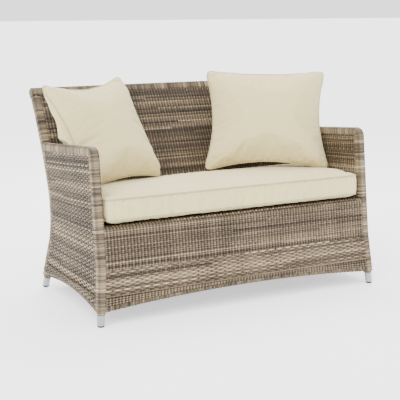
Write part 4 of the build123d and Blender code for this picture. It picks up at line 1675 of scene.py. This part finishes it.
@dataclass
class ScatterPillow:
    """Loose pillow with a piped seam, which leans in a corner of the seat."""

    stance: Stance
    cloth: bpy.types.Material
    piping: bpy.types.Material
    side: Side
    place: Point
    turn: float
    lean: float
    tip: float
    width: float
    belly: float
    draws: tuple[float, ...]
    ears: tuple[tuple[float, float], ...]
    slump: float = 0.0
    sag: float = 0.42
    pinch: tuple[float, float] = (0.0, 0.0)
    height: float = 0.448
    ear: float = 0.022
    cord: float = 0.0026
    voxel: float = 0.005
    pressure: float = 4.5
    slack: float = 0.03
    cap: float = 0.014
    touch: float = 0.0012
    clear: float = 0.0018
    over_arm: float = 1.1
    fold: float = 0.0030
    gather: float = 0.0011
    pinch_depth: float = 0.0120
    dent: float = 0.0024
    levels = ((0.0, 0.0), (0.005, 0.11), (0.02, 0.28), (0.055, 0.49), (0.11, 0.69), (0.18, 0.85),
              (0.28, 0.97), (0.40, 1.04))

    def __post_init__(self) -> None:
        """Work out the pillow's own axes."""
        spin = (Matrix.Translation(self.place) @ Matrix.Rotation(math.radians(self.turn), 4, "Z")
                @ Matrix.Rotation(math.radians(90 - self.lean), 4, "X")
                @ Matrix.Rotation(math.radians(self.tip), 4, "Z"))
        self.axes = np.array(spin)

    @property
    def name(self) -> str:
        """Name of the piece."""
        return f"scatter_pillow_{self.side.word}"

    def world(self, local: np.ndarray) -> np.ndarray:
        """Points of the pillow's own plane in the frame of the sofa."""
        return local @ self.axes[:3, :3].T + self.axes[:3, 3]

    def ring(self, inset: float, height: float) -> np.ndarray:
        """Outline of the pillow at a level over the seam plane.

        Args:
            inset: How far it is moved in.
            height: The level.

        Returns:
            Points of the outline.
        """
        flat = Padding.outline(self.width / 2 - inset, self.height / 2 - inset, self.draws,
                               self.ear + inset * 0.5)
        x, y = flat[:, 0] / (self.width / 2), flat[:, 1] / (self.height / 2)
        flat[:, 1] -= self.sag * inset
        rear = max(-height, 0) / self.belly
        swell = np.clip(-x, 0, 1) ** 2 * np.exp(-((y + 0.15) / 0.6) ** 2) * np.sin(math.pi * rear)
        flat[:, 0] -= self.slump * swell
        for (sx, sy), (dx, dy) in zip(((-1, -1), (1, -1), (1, 1), (-1, 1)), self.ears):
            near = np.clip(sx * x, 0, 1) ** 2 * np.clip(sy * y, 0, 1) ** 2
            flat += near[:, None] * (dx, dy)
        return np.column_stack([flat, np.full(len(flat), height)])

    def build(self) -> Stuffed:
        """Make the pillow, ready to be inflated.

        Returns:
            What the inflating needs.
        """
        rise = self.belly * 0.95
        rings = [self.ring(inset * self.height, -level * rise) for inset, level in reversed(self.levels)]
        rings += [self.ring(inset * self.height, level * rise) for inset, level in self.levels[1:]]
        self.piece = Padding.from_rings(self.name, rings)
        Padding.remesh(self.piece, self.voxel)
        gap = near_line(Padding.coords(self.piece.data), self.ring(0, 0))
        held = np.clip(1.2 - gap / 0.008, 0, 1)
        Padding.smooth(self.piece.data, 40, 1 - 0.94 * held)
        return Stuffed(self.piece, held, self.pressure, self.slack, self.cap)

    def press(self, points: np.ndarray, seat: BVHTree) -> np.ndarray:
        """Keep the pillow out of the seat cushion, the back and the arm beside it, over which it may bulge.

        Args:
            points: Points of the pillow.
            seat: Surface of the seat cushion.

        Returns:
            The moved points.
        """
        s = self.stance
        moved = points.copy()
        above = np.maximum(moved[:, 2] - s.arm_z(moved[:, 1]) - s.arm_wrap - 0.003, 0)
        limit = s.post_x - s.post_wrap - self.clear + self.over_arm * above
        moved[:, 0] = np.clip(moved[:, 0], -limit, limit)
        lean = s.lean(moved[:, 2])
        behind = s.rear_y(moved[:, 2]) - (s.panel + 0.003) / np.cos(lean)
        moved[:, 1] = np.minimum(moved[:, 1], behind)
        for i in np.where(moved[:, 2] < 0.56)[0]:
            hit = seat.ray_cast(Vector((moved[i, 0], moved[i, 1], 0.7)), Vector((0, 0, -1)))[0]
            if hit is not None:
                moved[i, 2] = max(moved[i, 2], hit.z + self.touch)
        return moved

    def crease(self) -> None:
        """Fold lines from the ears, gathers along the seam, two pinched folds and soft dents."""
        draw = np.random.default_rng(5 if self.side is Side.LEFT else 9)
        points = Padding.coords(self.piece.data)
        out = np.sign(points[:, 2]) * np.clip(np.abs(points[:, 2]) / 0.03, 0, 1)
        depth = np.zeros(len(points))
        for sx in (-1, 1):
            for sy in (-1, 1):
                ear = np.array([sx * self.width / 2, sy * self.height / 2])
                away = points[:, :2] - ear
                far = np.linalg.norm(away, axis=1)
                angle = np.arctan2(away[:, 1] * -sy, away[:, 0] * -sx)
                folds = np.sin(angle * draw.uniform(9, 13) + draw.uniform(0, 6))
                depth += self.fold * folds * np.exp(-far / 0.085) * np.clip(far / 0.03, 0, 1)
        for axis, half in ((0, self.width / 2), (1, self.height / 2)):
            edge = half - np.abs(points[:, axis])
            run = points[:, 1 - axis]
            beat = sum(np.sin(run * pitch + draw.uniform(0, 6)) for pitch in (95.0, 151.0))
            depth += self.gather * beat * np.exp(-np.maximum(edge, 0) / 0.028) * np.clip(edge / 0.012, 0, 1)
        for rise in (-0.30, 0.16):
            away = points[:, :2] - self.pinch
            along = away @ (math.cos(rise), math.sin(rise))
            off = away @ (-math.sin(rise), math.cos(rise))
            reach = np.clip(along / 0.012, 0, 1) * np.exp(-np.maximum(along, 0) / 0.055)
            depth -= self.pinch_depth * reach * np.exp(-(off / 0.0090) ** 2) * (self.pinch != (0.0, 0.0))
        slow = np.sin(points[:, 0] * 11 + draw.uniform(0, 6)) * np.sin(points[:, 1] * 13 + draw.uniform(0, 6))
        depth += self.dent * slow * np.clip(np.abs(points[:, 2]) / 0.05, 0, 1)
        points[:, 2] += out * depth
        Padding.set_coords(self.piece.data, points)

    def dress(self, seat: BVHTree) -> None:
        """Put the pillow in its place, pressed on the seat, with its piping.

        Args:
            seat: Surface of the seat cushion.
        """
        self.crease()
        Padding.set_coords(self.piece.data, self.press(self.world(Padding.coords(self.piece.data)), seat))
        body = f"pillow_{self.side.word}"
        nodes = (f"{self.side.word}_pillow_cover", f"{self.side.word}_pillow_fill")
        finish_padded(self.piece, self.cloth, body, "pillow_cloth", nodes)
        tree = BVHTree.FromObject(self.piece, bpy.context.evaluated_depsgraph_get())
        ring = self.world(self.ring(0, 0))
        line = seated(self.press(ring, seat), tree, unit(ring - self.axes[:3, 3]), self.cord * 0.75)
        mesh = StrandMesh()
        mesh.cord(line, self.cord, 0.5)
        declare(mesh.build(f"pillow_cord_{self.side.word}", self.piping), body, "piping",
                f"{self.side.word}_pillow_piping")


@dataclass
class TubeFrame:
    """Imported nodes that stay: tubes, sleeves and glides, in better finishes."""

    nodes: dict[str, bpy.types.Object]
    tube: bpy.types.Material
    sleeve: bpy.types.Material
    glide: bpy.types.Material

    def dress(self) -> None:
        """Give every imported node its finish, also those that other pieces stand for."""
        for name, node in self.nodes.items():
            material = self.glide if "glide" in name else self.sleeve if "sleeve" in name else self.tube
            if not node.material_slots:
                node.data.materials.append(material)
            for slot in node.material_slots:
                slot.material = material


@dataclass
class Studio:
    """Pale floor, soft light and a camera at the photograph's angle."""

    effects: Effects
    azimuth: float = math.radians(-28.28)
    elevation: float = math.radians(11.40)
    place: Point = (-1.935, -3.582, 1.178)
    lens: float = 87.9
    sensor: float = 36.0
    floor_half: float = 60.0
    sun_way: Point = (-0.80, -0.62, 0.98)
    sun_power: float = 4.1
    sun_spread: float = math.radians(45)
    rim_place: Point = (0.6, 1.6, 3.2)
    rim_aim: Point = (0.0, 0.0, 0.35)
    rim_size: float = 2.0
    rim_power: float = 130.0
    sky: float = 2.0

    def build(self) -> None:
        """Make the floor, the world, the lights and the camera."""
        h = self.floor_half
        mesh = bpy.data.meshes.new("floor")
        mesh.from_pydata([(-h, -h, 0), (h, -h, 0), (h, h, 0), (-h, h, 0)], [], [(0, 1, 2, 3)])
        mesh.materials.append(FloorFinish("studio floor").build(self.effects))
        added("floor", mesh)
        world = bpy.data.worlds.new("studio")
        world.use_nodes = True
        shade = world.node_tree.nodes["Background"].inputs
        shade["Color"].default_value = (1.0,) * 4
        shade["Strength"].default_value = self.sky
        bpy.context.scene.world = world
        self.lights()
        self.camera()

    def lights(self) -> None:
        """Broad sun from the camera's left, and a square soft light from above and behind."""
        light = bpy.data.lights.new("key", "SUN")
        light.energy = self.sun_power
        light.angle = self.sun_spread
        added("key", light).rotation_euler = Vector(self.sun_way).to_track_quat("Z", "Y").to_euler()
        light = bpy.data.lights.new("rim", "AREA")
        light.size = self.rim_size
        light.energy = self.rim_power
        piece = added("rim", light)
        piece.location = self.rim_place
        aim = Vector(self.rim_aim) - Vector(self.rim_place)
        piece.rotation_euler = aim.to_track_quat("-Z", "Y").to_euler()

    def camera(self) -> None:
        """Camera at the photograph's angle."""
        data = bpy.data.cameras.new("camera")
        data.lens = self.lens
        data.sensor_width = self.sensor
        data.clip_end = 200.0
        piece = added("camera", data)
        piece.location = self.place
        piece.rotation_euler = (math.pi / 2 - self.elevation, 0, self.azimuth)
        bpy.context.scene.camera = piece


def main() -> None:
    """Build the sofa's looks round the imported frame."""
    logging.basicConfig(level=logging.INFO, format="%(message)s")
    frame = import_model()
    foot = next(m for m in frame["record"]["mounts"] if m["name"] == "front_right_foot")
    stance = Stance(front_foot=foot["pos_m"][1] - GLIDE_HEIGHT * math.tan(Stance.front_lean))
    effects = Effects()
    Studio(effects).build()
    reed, tube, sleeve, glide, cloth, pillow_cloth, piping, zip_plastic = (kind.build(effects) for kind in (
        WickerFinish(),
        MetalFinish("frame tube", (150, 144, 136), 0.42),
        MetalFinish("bright leg", (158, 160, 164), 0.26),
        PlasticFinish("foot glide", (13, 12, 12), (34, 31, 29)),
        ClothFinish("cushion cloth"),
        ClothFinish("pillow cloth", (206, 192, 142), (190, 175, 124)),
        # Painted shade: the piping cloth is darker than the cushion and pillow cloth, so the seams read as a
        # shaded line.
        ClothFinish("piping cloth", (186, 172, 126), (160, 145, 101), 5200.0),
        PlasticFinish("zip tape", (206, 196, 172), (190, 180, 158), 0.6),
    ))
    TubeFrame(frame["nodes"], tube, sleeve, glide).dress()
    WovenShell(Weaver(stance, reed, np.random.default_rng(11))).build()
    seat = SeatCushion(stance, cloth, piping, zip_plastic)
    pillows = [
        ScatterPillow(
            stance, pillow_cloth, piping, Side.LEFT, place=(-0.398, 0.094, 0.6649), turn=15.0, lean=32.0,
            tip=3.0, width=0.414, belly=0.074, draws=(0.016, 0.010, 0.030, 0.036),
            ears=((0.010, 0.0), (-0.022, -0.016), (-0.012, 0.012), (-0.008, 0.014)),
            slump=0.165, pinch=(-0.168, -0.050)),
        ScatterPillow(
            stance, pillow_cloth, piping, Side.RIGHT, place=(0.350, 0.048, 0.6792), turn=-24.0, lean=25.0,
            tip=-1.0, width=0.516, belly=0.072, draws=(0.031, 0.026, 0.018, 0.022),
            ears=((-0.020, -0.010), (0.006, -0.004), (0.008, 0.0), (-0.004, -0.004))),
    ]
    jobs = [seat.build()] + [pillow.build() for pillow in pillows]
    inflate(jobs)
    seat.dress()
    for pillow in pillows:
        pillow.dress(seat.tree)


if __name__ == "__main__":
    main()
